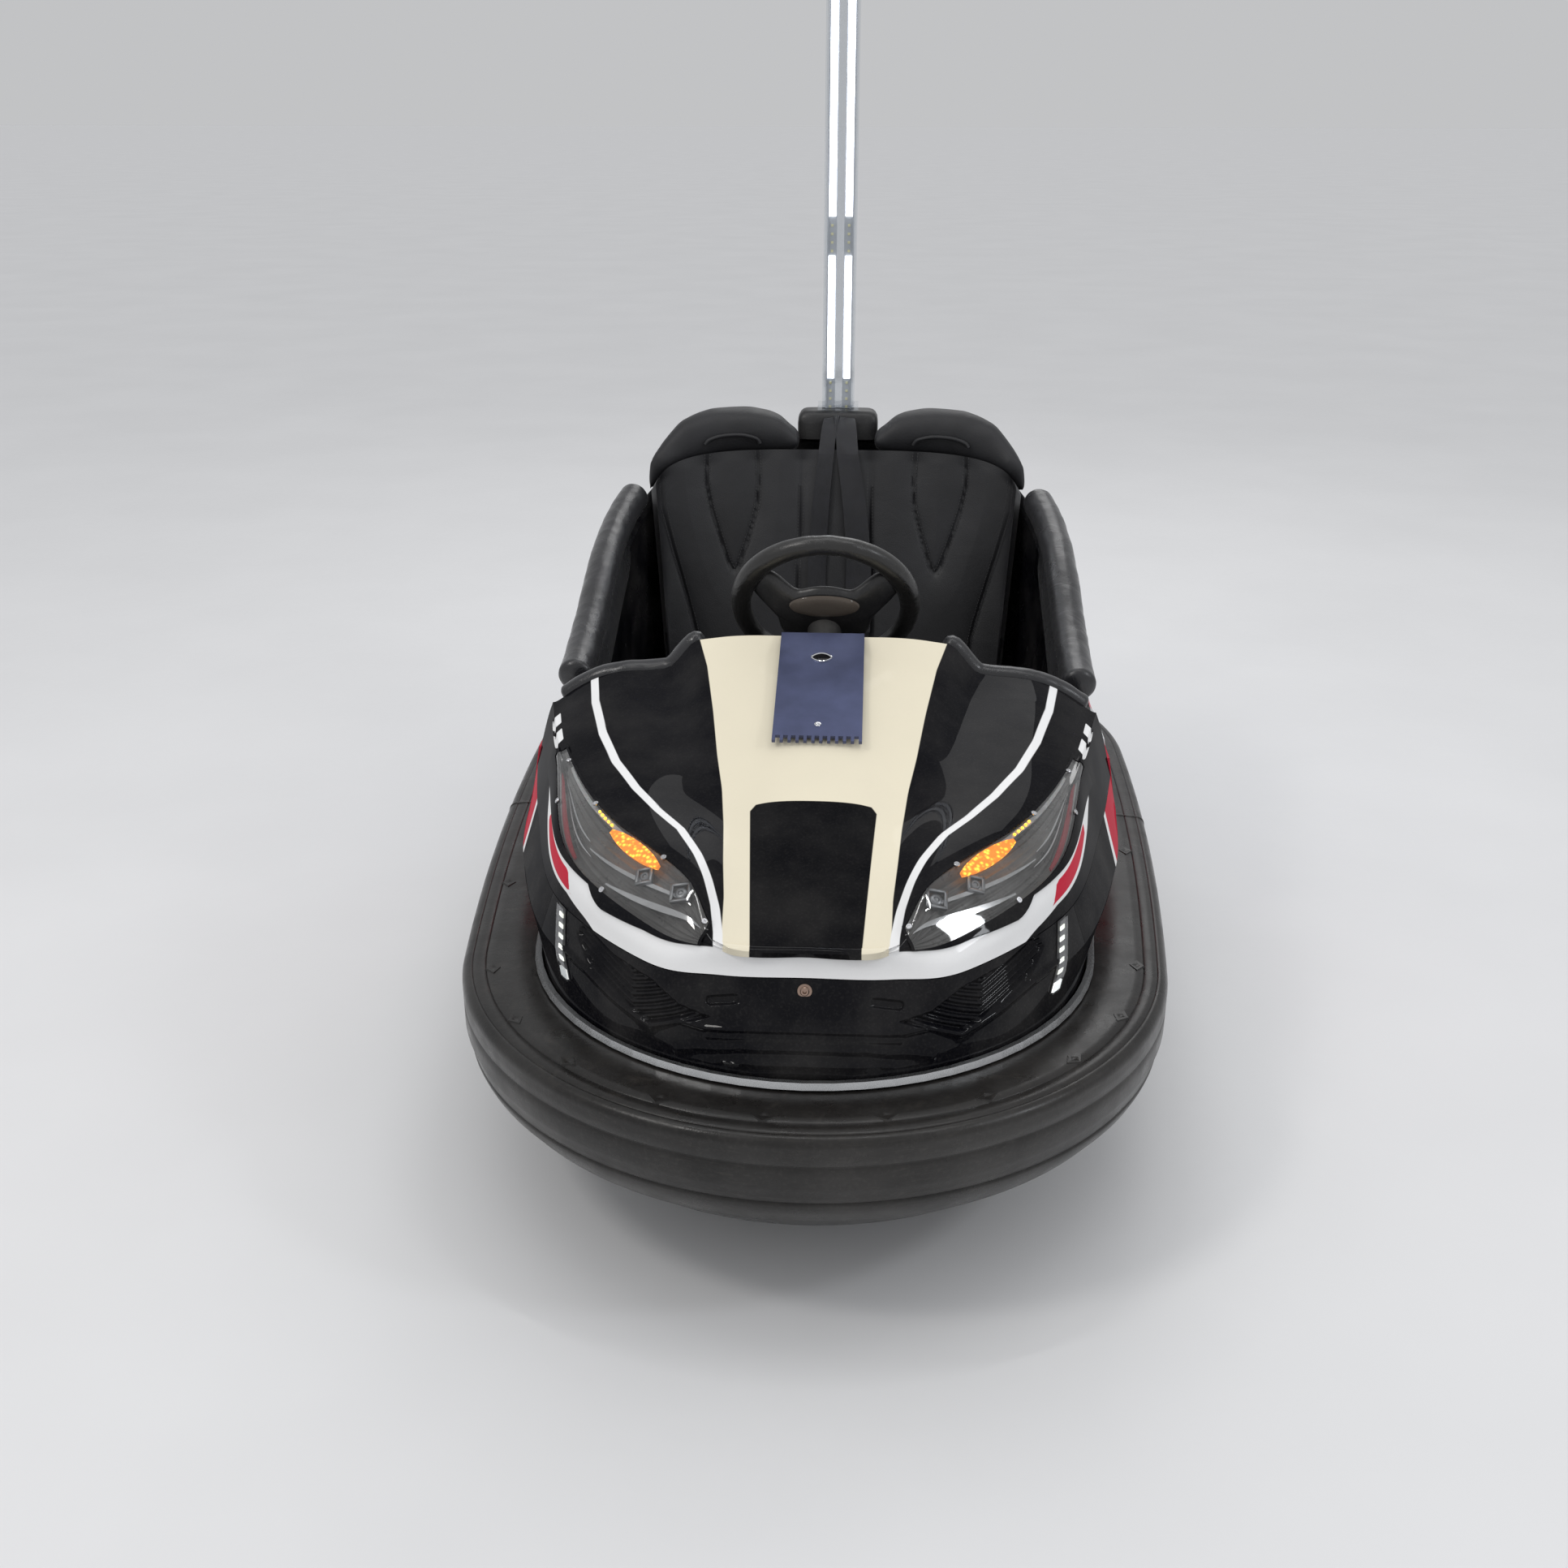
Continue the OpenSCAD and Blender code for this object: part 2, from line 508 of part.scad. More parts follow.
// Seat
cushion_z = floor_top + seat_gap + bench_h;
bench_l = cushion_l + back_t + 5;
module bench_box() {
    w = bench_w / 2;
    module outline() polygon([[-w, 0], [w, 0], [w, cushion_l + 40], [w - 25, bench_l], [25 - w, bench_l], [-w, cushion_l + 40]]);
    color("dimgray") translate([0, cushion_y, floor_top + seat_gap]) difference() {
        linear_extrude(bench_h) outline();
        translate([0, 0, -1]) linear_extrude(bench_h - bench_t + 1) offset(delta = -bench_t) outline();
    }
}
module seat_cushion() {
    w = bench_w;
    color("black") translate([0, cushion_y, cushion_z + seat_gap]) hull() {
        translate([-w / 2 + 12, 0, 0]) cube([w - 24, cushion_l, cushion_t * 0.6]);
        translate([-w / 2 + 32, 15, 0]) cube([w - 64, cushion_l - 20, cushion_t]);
    }
}

// Backrest that wraps round towards the side pads, u from -1 to 1 across and v from 0 to 1 up
back_room = 47;
back_w = 2 * (body_half_w - tub_t - back_room);
back_wrap = 120;
seam_drop = 56;
back_z0 = cushion_z + seat_gap;
function wrap_xy(u, half_w, y, wrap) =
    let(a = 84 * u) [sign(u) * half_w * pow(abs(sin(a)), 2 / 3), y - wrap * (1 - pow(cos(a), 2 / 3))];
function back_pt(u, v, t) =
    let(w = back_wrap * pow(max(0, (v - 0.2) / 0.8), 1.2),
        q = wrap_xy(u, mix(back_w / 2 - 30, back_w / 2, v) + t * 0.2,
            cushion_y + cushion_l + seat_gap + v * (back_top_z - back_z0) * tan(back_lean) + t, w + t * mix(0.4, 0.9, v)))
    [q[0], q[1], back_z0 + v * (back_top_z - back_z0 - seam_drop * pow(abs(u), 2.5) - t * 0.3)];
function back_grid(t) = [for (i = [-10:10]) [for (j = [0:8]) back_pt(i / 10, j / 8, t)]];
module backrest() {
    color("black") panel(back_grid(0), back_grid(back_t));
}

// Headrest from the backrest's upper seam over the tub's rim
// Outline: columns distance from the middle line as a share of the body's half width, height below the top
headrest_line = [[0.13, 60], [0.2, 38], [0.28, 13], [0.4, 0], [0.59, 2], [0.7, 20], [0.78, 62], [0.87, 122]];
// Section: columns share of the way from seam to rim, share of the height
headrest_bulge = [[0, 0], [-0.03, 0.5], [0.12, 0.88], [0.36, 1], [0.64, 0.97], [0.88, 0.72], [1, 0.3], [1, 0]];
// Stations: columns place along the tub, place across the backrest, the same two places for the underside
headrest_steps = concat([[0.03, 0.06, 0.03, 0.06], [1 / 24, 0.075, 1 / 24, 0.075], [0.06, 0.09, 0.06, 0.09]],
    [for (i = [2:9]) let(k = i / 24, u = (i - 1) / 10) [k, u, k, u]], [[0.39, 0.82, 0.4, 0.9]]);
function headrest_ring(h, s) =
    let(k = h[0], u = h[1], seam = back_pt(u, 1, 0) + [0, 2, seat_gap + 0.7],
        edge = back_pt(h[3], 1, back_t + 8) + [0, 0, seat_gap + 3],
        q = tub_xy(k, body_half_w - 8, tail_y - 8, tub_full),
        inn = tub_xy(h[2], body_half_w - tub_t - 4, tail_y - tub_t - 4, tub_full_in),
        z = rim_z(tub_xy(k, body_half_w, tail_y, tub_full)[1]) + seat_gap + 2.8,
        reach = k < 0.07 ? 0.1 : 1,
        lip = at_z(mix(edge, at_z(inn, z), reach), k > 0.38 ? edge[2] : z),
        rim = at_z(mix(edge, at_z(q, z), reach), z),
        top = max(headrest_z - lookup((seam[0] + rim[0]) / 2 / body_half_w, headrest_line), max(seam[2], rim[2]) + 10),
        over = [for (b = headrest_bulge) let(p = mix(seam, rim, b[0])) p + [0, 0, b[1] * (top - p[2])]])
    [for (p = concat(over, [lip, edge])) [s * p[0], p[1], p[2]]];
module headrest(left) {
    s = left ? -1 : 1;
    rings = [for (h = headrest_steps) headrest_ring(h, s)];
    color("black") tube(left ? [for (i = [len(rings) - 1:-1:0]) rings[i]] : rings);
}
module headrest_left() headrest(true);
module headrest_right() headrest(false);
module lap_strap() {
    strap = 34;
    color("black") for (s = [-1, 1])
        panel([for (x = [-strap / 2, strap / 2]) [for (v = [0.72, 0.8, 0.88, 0.96]) back_pt(0, v, 0) + [x + s * 24, -3.5, 1]]],
            [for (x = [-strap / 2, strap / 2]) [for (v = [0.72, 0.8, 0.88, 0.96]) back_pt(0, v, 0) + [x + s * 24, -0.8, 0]]]);
}

// Lamp pole
box_w = 169;
box_d = 70;
box_z = rim_high_z + seat_gap;
box_h = 62;
module pole_box() {
    color("black") difference() {
        translate([-box_w / 2, pole_y - box_d / 2, box_z]) cube([box_w, box_d, box_h]);
        translate([-pole_w / 2 - seat_gap, pole_y - pole_d / 2 - seat_gap, box_z + 20]) cube([pole_w + 2 * seat_gap, pole_d + 2 * seat_gap, box_h]);
    }
}
module pole_socket() {
    color("dimgray") translate([0, pole_y, box_z + box_h + seat_gap]) difference() {
        translate([-pole_w / 2 - 9, -pole_d / 2 - 9, 0]) cube([pole_w + 18, pole_d + 18, 10]);
        translate([-pole_w / 2 - seat_gap, -pole_d / 2 - seat_gap, -1]) cube([pole_w + 2 * seat_gap, pole_d + 2 * seat_gap, 12]);
    }
}
pole_z0 = box_z + 20 + seat_gap;
cap_h = 16;
module pole_tube() {
    color("lightcyan", 0.4) translate([0, pole_y, pole_z0]) difference() {
        translate([-pole_w / 2, -pole_d / 2, 0]) cube([pole_w, pole_d, pole_top_z - cap_h - pole_z0]);
        translate([-pole_w / 2 + pole_t, -pole_d / 2 + pole_t, -1]) cube([pole_w - 2 * pole_t, pole_d - 2 * pole_t, pole_top_z]);
    }
}
module pole_lights() {
    color("white") for (s = [-1, 1])
        translate([s * 17 - 10, pole_y - 6, pole_z0]) cube([20, 12, pole_top_z - cap_h - pole_z0]);
}
module pole_cap() {
    color("black") translate([-pole_w / 2 - 3, pole_y - pole_d / 2 - 3, pole_top_z - cap_h + seat_gap])
        cube([pole_w + 6, pole_d + 6, cap_h - seat_gap]);
}
pedal_line = [[0, 0], [90, 0], [90, 8], [80, 8], [4, 92], [-4, 86], [66, 8], [0, 8]];
module pedal() {
    color("silver") translate([130, swivel_y + 290, floor_top + seat_gap]) rotate([90, 0, 90]) linear_extrude(70) polygon(pedal_line);
}

// Rubber ring and rim
face_h = 105;
module bumper_rubber() {
    top = rubber_top;
    face = top - 16 - face_h;
    color("dimgray") round_ring(concat(
        [[rubber_t, ring_z + 13], [96, ring_z + 13], [64, face - 48], [34, face - 26], [14, face], [7, face + 16], [3, face + 42],
         [0, face + 48]],
        arc([15, top - 16], 15, 180, 90, 4),
        [[24, top - 1], [72, top + 2], [rubber_t, top - 2]]));
}
module bumper_rim() {
    w = rubber_t + seat_gap;
    lo = ring_z + rim_foot;
    hi = rubber_top - rim_head;
    color("gray") round_ring([[w, lo], [w, hi], [w + rim_flange, hi], [w + rim_flange, hi - rim_t], [w + rim_t, hi - rim_t],
        [w + rim_t, lo + rim_t], [w + rim_flange, lo + rim_t], [w + rim_flange, lo]]);
}
module trim_strip() {
    color("silver") round_ring([[rubber_t - 12, rubber_top + 1.9], [rubber_t - 9, rubber_top + 11], [rubber_t - 2, rubber_top + 11],
        [rubber_t - 2, rubber_top + 0.3]]);
}

// Chassis
housing_z0 = 262;
housing_h = 80;
bridge_t = 8;
jack_w = 120;
jack_t = 6;
// Cross tubes: columns place, whether it runs out to the rim
crosses = [[swivel_y + 220, true], [dash_y + 150, true], [rear_y - tube_w / 2, false], [tail_y - 170, true]];
module chassis_frame() {
    y0 = swivel_y - 20;
    y1 = crosses[3][0] + tube_w;
    stub_x = rail_x + tube_w / 2;
    wheel_in = rear_x - rear_w / 2;
    color("gray") {
        for (s = [-1, 1]) {
            translate([s * rail_x - tube_w / 2, y0, frame_z]) cube([tube_w, y1 - y0, tube_h]);
            translate([s * rail_x - tube_w / 2, y0, frame_z + tube_h]) cube([tube_w, tube_w, housing_z0 + 10 - frame_z - tube_h]);
            translate([s > 0 ? stub_x - 1 : -stub_x - 11, rear_y - 25, rear_d / 2 - 20]) cube([12, 50, frame_z + tube_h - rear_d / 2 + 20]);
            translate([s * (stub_x + 10), rear_y, rear_d / 2]) rotate([0, s * 90, 0]) cylinder(r = axle_r + 6, h = wheel_in - side_gap - stub_x - 10, $fn = 48);
            translate([s * (stub_x + 10), rear_y, rear_d / 2]) rotate([0, s * 90, 0]) cylinder(r = axle_r, h = wheel_in + rear_w - stub_x - 6, $fn = 48);
        }
        translate([-jack_w / 2, crosses[3][0], frame_z - jack_t]) cube([jack_w, tube_w, jack_t + 1]);
        for (c = crosses) {
            x = c[1] ? min(ring_x(c[0], rim_in), ring_x(c[0] + tube_w, rim_in)) : rail_x;
            translate([-x, c[0], frame_z]) cube([2 * x, tube_w, tube_h]);
        }
        difference() {
            union() {
                translate([0, swivel_y, housing_z0]) cylinder(r = spindle_r + 14, h = housing_h, $fn = 64);
                translate([-rail_x - tube_w / 2, swivel_y - 45, housing_z0 + 10]) cube([2 * rail_x + tube_w, 90, bridge_t]);
            }
            translate([0, swivel_y, housing_z0 - 1]) cylinder(r = spindle_r + run_gap, h = housing_h + 2, $fn = 64);
        }
    }
}
toe_rise = 300;
pan_side = body_half_w - tub_t - 29;
module floor_pan() {
    toe_y = swivel_y + 220;
    ys = [for (i = [0:24]) mix(toe_y, tail_y - 32, i / 24)];
    side = [for (y = ys) [min(pan_side, ring_x(y, rim_in + 1)), y]];
    toe_x = min(pan_side, ring_x(toe_y, rim_in + rim_flange + 2)) - 2;
    color("darkgray") difference() {
        union() {
            translate([0, 0, floor_z]) linear_extrude(floor_t) polygon(concat(side, [for (i = [len(side) - 1:-1:0]) [-side[i][0], side[i][1]]]));
            translate([-toe_x, toe_y, floor_z]) cube([2 * toe_x, floor_t, toe_rise]);
        }
        for (s = [-1, 1]) translate([s * rear_x - rear_w / 2 - side_gap, rear_y - rear_d / 2 - side_gap, floor_z - 1])
            cube([rear_w + 2 * side_gap, rear_d + 2 * side_gap, floor_t + 2]);
    }
}

// Drive unit on its swivel
fork_t = 10;
module drive_fork() {
    top = drive_d + side_gap + 2;
    hw = drive_w / 2 + side_gap;
    color("steelblue") translate([0, swivel_y, 0]) difference() {
        union() {
            for (s = [-1, 1]) translate([s * (hw + fork_t / 2) - fork_t / 2, -40, drive_d / 2 - 35]) cube([fork_t, 80, top - drive_d / 2 + 35]);
            translate([-hw - fork_t, -55, top]) cube([2 * hw + 2 * fork_t, 110, fork_t]);
            cylinder_z = top + fork_t - 1;
            translate([0, 0, cylinder_z]) cylinder(r = spindle_r, h = housing_z0 + housing_h + 4 - cylinder_z + 14, $fn = 64);
            translate([0, 0, housing_z0 + housing_h + 4]) cylinder(r = spindle_r + 10, h = 14, $fn = 64);
            translate([0, 0, top + fork_t - 1]) cylinder(r = spindle_r + 12, h = housing_z0 - 4 - top - fork_t + 1, $fn = 64);
        }
        translate([0, 0, drive_d / 2]) rotate([0, 90, 0]) cylinder(r = axle_r + run_gap, h = 300, center = true, $fn = 48);
    }
}
module drive_motor() {
    x0 = drive_w / 2 + side_gap + fork_t + seat_gap;
    color("midnightblue") translate([x0, swivel_y, drive_d / 2]) rotate([0, 90, 0]) difference() {
        cylinder(r = motor_d / 2, h = motor_l, $fn = 64);
        translate([0, 0, -1]) cylinder(r = axle_r + 4, h = 20, $fn = 48);
    }
}
module drive_tyre() {
    r = drive_d / 2;
    color("black") translate([0, swivel_y, r]) rotate([0, 90, 0]) rotate_extrude($fn = 96)
        polygon([[r - 34, -drive_w / 2], [r - 5, -drive_w / 2], [r, -drive_w / 2 + 6], [r, drive_w / 2 - 6], [r - 5, drive_w / 2], [r - 34, drive_w / 2]]);
}
module drive_hub() {
    r = drive_d / 2;
    color("silver") translate([0, swivel_y, r]) rotate([0, 90, 0]) {
        cylinder(r = r - 34 - seat_gap, h = drive_w - 4, center = true, $fn = 64);
        cylinder(r = axle_r, h = drive_w + 2 * side_gap + 2 * fork_t + 12, center = true, $fn = 48);
    }
}

// Rear wheels on stub axles
module rear_tyre(s) {
    r = rear_d / 2;
    color("black") translate([s * rear_x, rear_y, r]) rotate([0, 90, 0]) rotate_extrude($fn = 96)
        polygon([[r - 28, -rear_w / 2], [r - 5, -rear_w / 2], [r, -rear_w / 2 + 6], [r, rear_w / 2 - 6], [r - 5, rear_w / 2], [r - 28, rear_w / 2]]);
}
module rear_hub(s) {
    r = rear_d / 2;
    color("silver") translate([s * rear_x, rear_y, r]) rotate([0, 90, 0]) difference() {
        cylinder(r = r - 28 - seat_gap, h = rear_w - 6, center = true, $fn = 64);
        cylinder(r = axle_r + run_gap, h = rear_w + 2, center = true, $fn = 48);
    }
}
module rear_tyre_left() rear_tyre(-1);
module rear_tyre_right() rear_tyre(1);
module rear_hub_left() rear_hub(-1);
module rear_hub_right() rear_hub(1);

chassis_frame();
bumper_rim();
bumper_rubber();
trim_strip();
floor_pan();
front_shell();
lower_nose();
skirt_left();
skirt_right();
headlamp_unit_left();
headlamp_unit_right();
headlamp_lens_left();
headlamp_lens_right();
day_lamp_left();
day_lamp_right();
coin_panel();
dash_panel();
steering_column();
dash_pad_left();
dash_pad_right();
tub();
bench_box();
seat_cushion();
backrest();
headrest_left();
headrest_right();
side_pad_left();
side_pad_right();
step_plate_left();
step_plate_right();
lap_strap();
pole_box();
pole_socket();
pole_tube();
pole_lights();
pole_cap();
pedal();
tail_lamps();
steering_rim();
steering_hub();
steering_shaft();
drive_fork();
drive_motor();
drive_tyre();
drive_hub();
rear_tyre_left();
rear_tyre_right();
rear_hub_left();
rear_hub_right();
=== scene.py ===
"""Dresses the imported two-seat bumper car and sets the stage for its render."""
import math

import bmesh
import bpy
import numpy as np
from mathutils import Matrix, Vector, noise
from mathutils.bvhtree import BVHTree


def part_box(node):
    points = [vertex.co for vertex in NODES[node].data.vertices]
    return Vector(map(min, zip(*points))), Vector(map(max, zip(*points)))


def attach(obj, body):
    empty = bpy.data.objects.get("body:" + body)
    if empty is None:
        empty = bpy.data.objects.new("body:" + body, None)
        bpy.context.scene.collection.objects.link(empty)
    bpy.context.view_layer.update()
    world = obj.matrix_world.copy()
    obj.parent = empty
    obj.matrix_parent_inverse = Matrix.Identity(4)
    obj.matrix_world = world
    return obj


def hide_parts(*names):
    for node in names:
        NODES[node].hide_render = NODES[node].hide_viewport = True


bl_info = {
    "name": "Bumper Car Dressing",
    "version": (1, 0, 0),
    "blender": (4, 5, 0),
    "location": "3D View > Sidebar > Bumper Car",
    "description": "Builds the visible pieces and finishes of a two-seat bumper car on its packed frame",
    "category": "Add Mesh",
}

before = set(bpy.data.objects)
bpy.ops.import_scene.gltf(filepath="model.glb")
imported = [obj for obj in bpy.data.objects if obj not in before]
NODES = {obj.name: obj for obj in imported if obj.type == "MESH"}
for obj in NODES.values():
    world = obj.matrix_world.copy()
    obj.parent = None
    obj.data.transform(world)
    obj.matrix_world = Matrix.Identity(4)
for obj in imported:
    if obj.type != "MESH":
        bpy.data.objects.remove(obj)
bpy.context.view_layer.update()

# Ring round the car, in metres
NOSE_R, NOSE_CY = 0.530, -0.450
REAR_R, TAIL_CY = 0.583, 0.397
SPAN = TAIL_CY - NOSE_CY
FLANK_R = (SPAN**2 + REAR_R**2 - NOSE_R**2) / (2 * (REAR_R - NOSE_R))
FLANK_A = math.degrees(math.asin(SPAN / (FLANK_R - NOSE_R)))
FLANK_CX = REAR_R - FLANK_R
RUBBER_T = 0.120
RIM_IN = 0.1274
SILL_Z = 0.3253
DASH_Y = -0.130
FLOOR_TOP = 0.1569

# Cockpit
TAIL_Y = 0.870
TUB_T = 0.046
RIM_LOW, RIM_HIGH = 0.545, 0.850
RIM_RISE = [(0, 1), (0.070, 0.9), (0.215, 0.64), (0.400, 0.46), (0.540, 0.33), (0.613, 0.2), (0.750, 0.07),
            (0.840, 0), (1.0, 0)]
CUSHION_Y, CUSHION_L = 0.150, 0.400
BACK_Z0, BACK_TOP = 0.2872, 0.846
BACK_LEAN = math.radians(16.7)
BACK_T = 0.060

# Steering wheel
WHEEL_C = Vector((0, -0.015, 0.727))
WHEEL_TILT = math.radians(31.5)
ON_SHAFT = Matrix.Translation(WHEEL_C) @ Matrix.Rotation(WHEEL_TILT - math.pi / 2, 4, "X")

# Camera of the photo: place and aim in metres, roll in degrees, lens and frame width in millimetres
CAMERA_AT = (0.070, -2.667, 1.498)
CAMERA_AIM = (-0.0484, 0.9228, -0.3822)
CAMERA_ROLL = 0.095
CAMERA_LENS, CAMERA_FRAME = 37.51, 36.0

# Soft lamps over the car: name, place, aim, length and width, power, tone
LAMPS = [
    ("key_soft", (-2.6, -2.2, 4.2), (0, 0, 0.4), (0.8, 0.8), 37, (1.0, 0.98, 0.95)),
    ("fill_soft", (3.2, -1.6, 3.0), (0, 0, 0.4), (0.5, 0.5), 19, (0.93, 0.96, 1.0)),
    ("back_soft", (0.6, 3.6, 3.6), (0, 0, 0.6), (2.2, 2.2), 26, (1, 1, 1)),
    ("roof_left", (-0.9, -0.4, 4.4), (-0.5, -0.2, 0), (0.10, 1.9), 12, (1, 1, 1)),
    ("roof_right", (1.0, -0.5, 4.4), (0.5, -0.2, 0), (0.10, 1.9), 12, (1, 1, 1)),
]

# Bonnet sections from nose to dashboard, in millimetres: across, ahead of the dashboard, over the sill,
# at the belt, lip foot, lip top, lamp edge, flank, ridge and crown
SECTIONS = np.array([
    [[0, 703, 70], [0, 670, 127], [0, 662, 160], [0, 648, 167], [0, 470, 235], [0, 220, 316], [0, 66, 356]],
    [[115, 696, 70], [112, 668, 127], [114, 658, 161], [110, 642, 172], [70, 455, 237], [34, 213, 317],
     [12, 64, 357]],
    [[235, 640, 70], [215, 640, 130], [205, 622, 165], [165, 565, 224], [130, 400, 243], [70, 190, 320],
     [28, 54, 359]],
    [[385, 465, 74], [364, 470, 138], [343, 472, 200], [296, 415, 250], [215, 300, 275], [120, 140, 332],
     [44, 36, 363]],
    [[466, 210, 80], [436, 220, 150], [398, 240, 250], [380, 225, 262], [285, 150, 316], [155, 70, 352],
     [50, 18, 368]],
    [[494, 0, 85], [480, 0, 150], [452, 0, 250], [432, 0, 268], [320, 0, 345], [165, 0, 378], [52, 0, 382]],
], float)
LAMP_U = (1.25, 4.1)
POCKET_D = 0.022
HOLLOW_D = 0.040
SHELL_T = 0.006
NOSE_T = 0.0125


def ring_x(y, d):
    """Half width at y of a curve that runs at depth d inside the ring's outer edge."""
    y, d = np.broadcast_arrays(np.asarray(y, float), np.asarray(d, float))
    nose = np.sqrt(np.maximum(0, (NOSE_R - d) ** 2 - (y - NOSE_CY) ** 2))
    flank = FLANK_CX + np.sqrt(np.maximum(0, (FLANK_R - d) ** 2 - (y - TAIL_CY) ** 2))
    tail = np.sqrt(np.maximum(0, (REAR_R - d) ** 2 - (y - TAIL_CY) ** 2))
    return np.where(y < NOSE_CY - (NOSE_R - d) * math.sin(math.radians(FLANK_A)), nose,
                    np.where(y < TAIL_CY, flank, tail))


HALF_W = float(ring_x(DASH_Y, RUBBER_T)) + 0.016
DRAWN = np.stack([SECTIONS[..., 0] * HALF_W / 460, DASH_Y - SECTIONS[..., 1] * 0.001,
                  SILL_Z + SECTIONS[..., 2] * 0.001], -1)


# Shapes

def side_name(side):
    """Left for a side of -1, right for 1."""
    return "left" if side < 0 else "right"


def mix(a, b, t):
    """Value between a and b, t from 0 to 1."""
    return a + (b - a) * t


def spline(points, u):
    """Smooth curve through points, at places u from 0 to their count less one."""
    points, u = np.asarray(points, float), np.asarray(u, float)
    n = len(points) - 1
    i = np.clip(np.floor(u).astype(int), 0, n - 1)
    t = (u - i).reshape(u.shape + (1,) * (points.ndim - 1))
    a, b, c, d = (points[np.clip(i + k, 0, n)] for k in (-1, 0, 1, 2))
    return 0.5 * (2 * b + (c - a) * t + (2 * a - 5 * b + 4 * c - d) * t**2 + (3 * b - a - 3 * c + d) * t**3)


def skin(us, vs):
    """Grid of bonnet points: us from -5 (left) to 5 (right), vs from 0 (belt) to 6 (crown)."""
    us, vs = np.atleast_1d(np.asarray(us, float)), np.atleast_1d(np.asarray(vs, float))
    lines = np.swapaxes(spline(np.swapaxes(DRAWN, 0, 1), vs), 0, 1)
    lines = np.concatenate([lines[1:2] * [-1, 1, 1], lines])
    grid = spline(lines, np.abs(us) + 1)
    grid[us < 0, :, 0] *= -1
    grid[..., 2] -= hollow(grid[..., 0], grid[..., 1])
    return grid


def eased(x):
    """Share from 0 to 1 with a soft start and end."""
    x = np.clip(x, 0, 1)
    return x * x * (3 - 2 * x)


def hollow(x, y):
    """How far the bonnet dips beside its centre stripe, most at the rear edge and nothing at mid length."""
    ys, half = np.array(STRIPE_HALF).T
    aside = np.abs(x) - np.interp(y, ys, half)
    across = eased((aside - 0.002) / 0.054) * (1 - eased((aside - 0.055) / 0.175))
    return HOLLOW_D * across * eased((y + 0.50) / 0.34)


def normals_of(grid):
    """Unit normals at a grid's points."""
    n = np.cross(np.gradient(grid, axis=0), np.gradient(grid, axis=1))
    return n / np.maximum(np.linalg.norm(n, axis=-1, keepdims=True), 1e-12)


def along_skin(us, vs, lift=0.0):
    """Points on the bonnet for pairs of us and vs, lifted along its normal."""
    us, vs, e = np.asarray(us, float), np.asarray(vs, float), 0.01
    pairs = list(zip(us.ravel(), vs.ravel()))
    one = np.array([skin([u], [v])[0, 0] for u, v in pairs])
    du = np.array([skin([u + e], [v])[0, 0] - skin([u - e], [v])[0, 0] for u, v in pairs])
    dv = np.array([skin([u], [v + e])[0, 0] - skin([u], [v - e])[0, 0] for u, v in pairs])
    n = np.cross(du, dv)
    n /= np.maximum(np.linalg.norm(n, axis=1, keepdims=True), 1e-12)
    return (one + n * np.broadcast_to(lift, us.shape).reshape(-1, 1)).reshape(us.shape + (3,))


def grid_faces(n, m, wrap_u=False, wrap_v=False, start=0, flip=False):
    """Four-sided faces of a grid of n rows of m points, joined round where it wraps."""
    i, j = np.meshgrid(np.arange(n if wrap_u else n - 1), np.arange(m if wrap_v else m - 1), indexing="ij")
    a, b = start + i * m + j, start + (i + 1) % n * m + j
    c, d = start + (i + 1) % n * m + (j + 1) % m, start + i * m + (j + 1) % m
    quads = np.stack([a, b, c, d], -1).reshape(-1, 4)
    return quads[:, ::-1].tolist() if flip else quads.tolist()


def new_object(name, points, faces, values=None):
    """Mesh object with values, a dict of float attributes, one number a point."""
    mesh = bpy.data.meshes.new(name)
    mesh.from_pydata(np.asarray(points, float).reshape(-1, 3).tolist(), [], faces)
    for key, numbers in (values or {}).items():
        data = mesh.attributes.new(key, "FLOAT", "POINT").data
        data.foreach_set("value", np.asarray(numbers, np.float32).ravel())
    mesh.validate()
    obj = bpy.data.objects.new(name, mesh)
    bpy.context.scene.collection.objects.link(obj)
    return obj


def panel_parts(outer, inner):
    """Points and faces of a closed panel between two grids, the first one's normals pointing out."""
    n, m = outer.shape[:2]
    k = n * m
    faces = grid_faces(n, m) + grid_faces(n, m, start=k, flip=True)
    for i in range(n - 1):
        a, b = i * m, (i + 1) * m
        faces += [[a, k + a, k + b, b], [b + m - 1, k + b + m - 1, k + a + m - 1, a + m - 1]]
    for j in range(m - 1):
        a = (n - 1) * m + j
        faces += [[j + 1, k + j + 1, k + j, j], [a, k + a, k + a + 1, a + 1]]
    return np.concatenate([outer.reshape(-1, 3), inner.reshape(-1, 3)]), faces


def panel(name, outer, inner, values=None):
    """Closed panel as an object, with values for the points of each grid."""
    both = {key: np.concatenate([np.ravel(v), np.ravel(v)]) for key, v in (values or {}).items()}
    return new_object(name, *panel_parts(outer, inner), both)


def sheet(name, grid, thick, lift=0.0):
    """Panel of even thickness on a grid."""
    n = normals_of(grid)
    return panel(name, grid + n * (lift + thick), grid + n * lift)


def loft(name, rings, closed=False, caps=True, values=None):
    """Tube through rings of points, rings of equal length."""
    rings = np.asarray(rings, float)
    n, m = rings.shape[:2]
    faces = grid_faces(n, m, wrap_u=closed, wrap_v=True)
    if caps and not closed:
        faces += [list(range(m)), [(n - 1) * m + j for j in range(m - 1, -1, -1)]]
    return new_object(name, rings, faces, values)


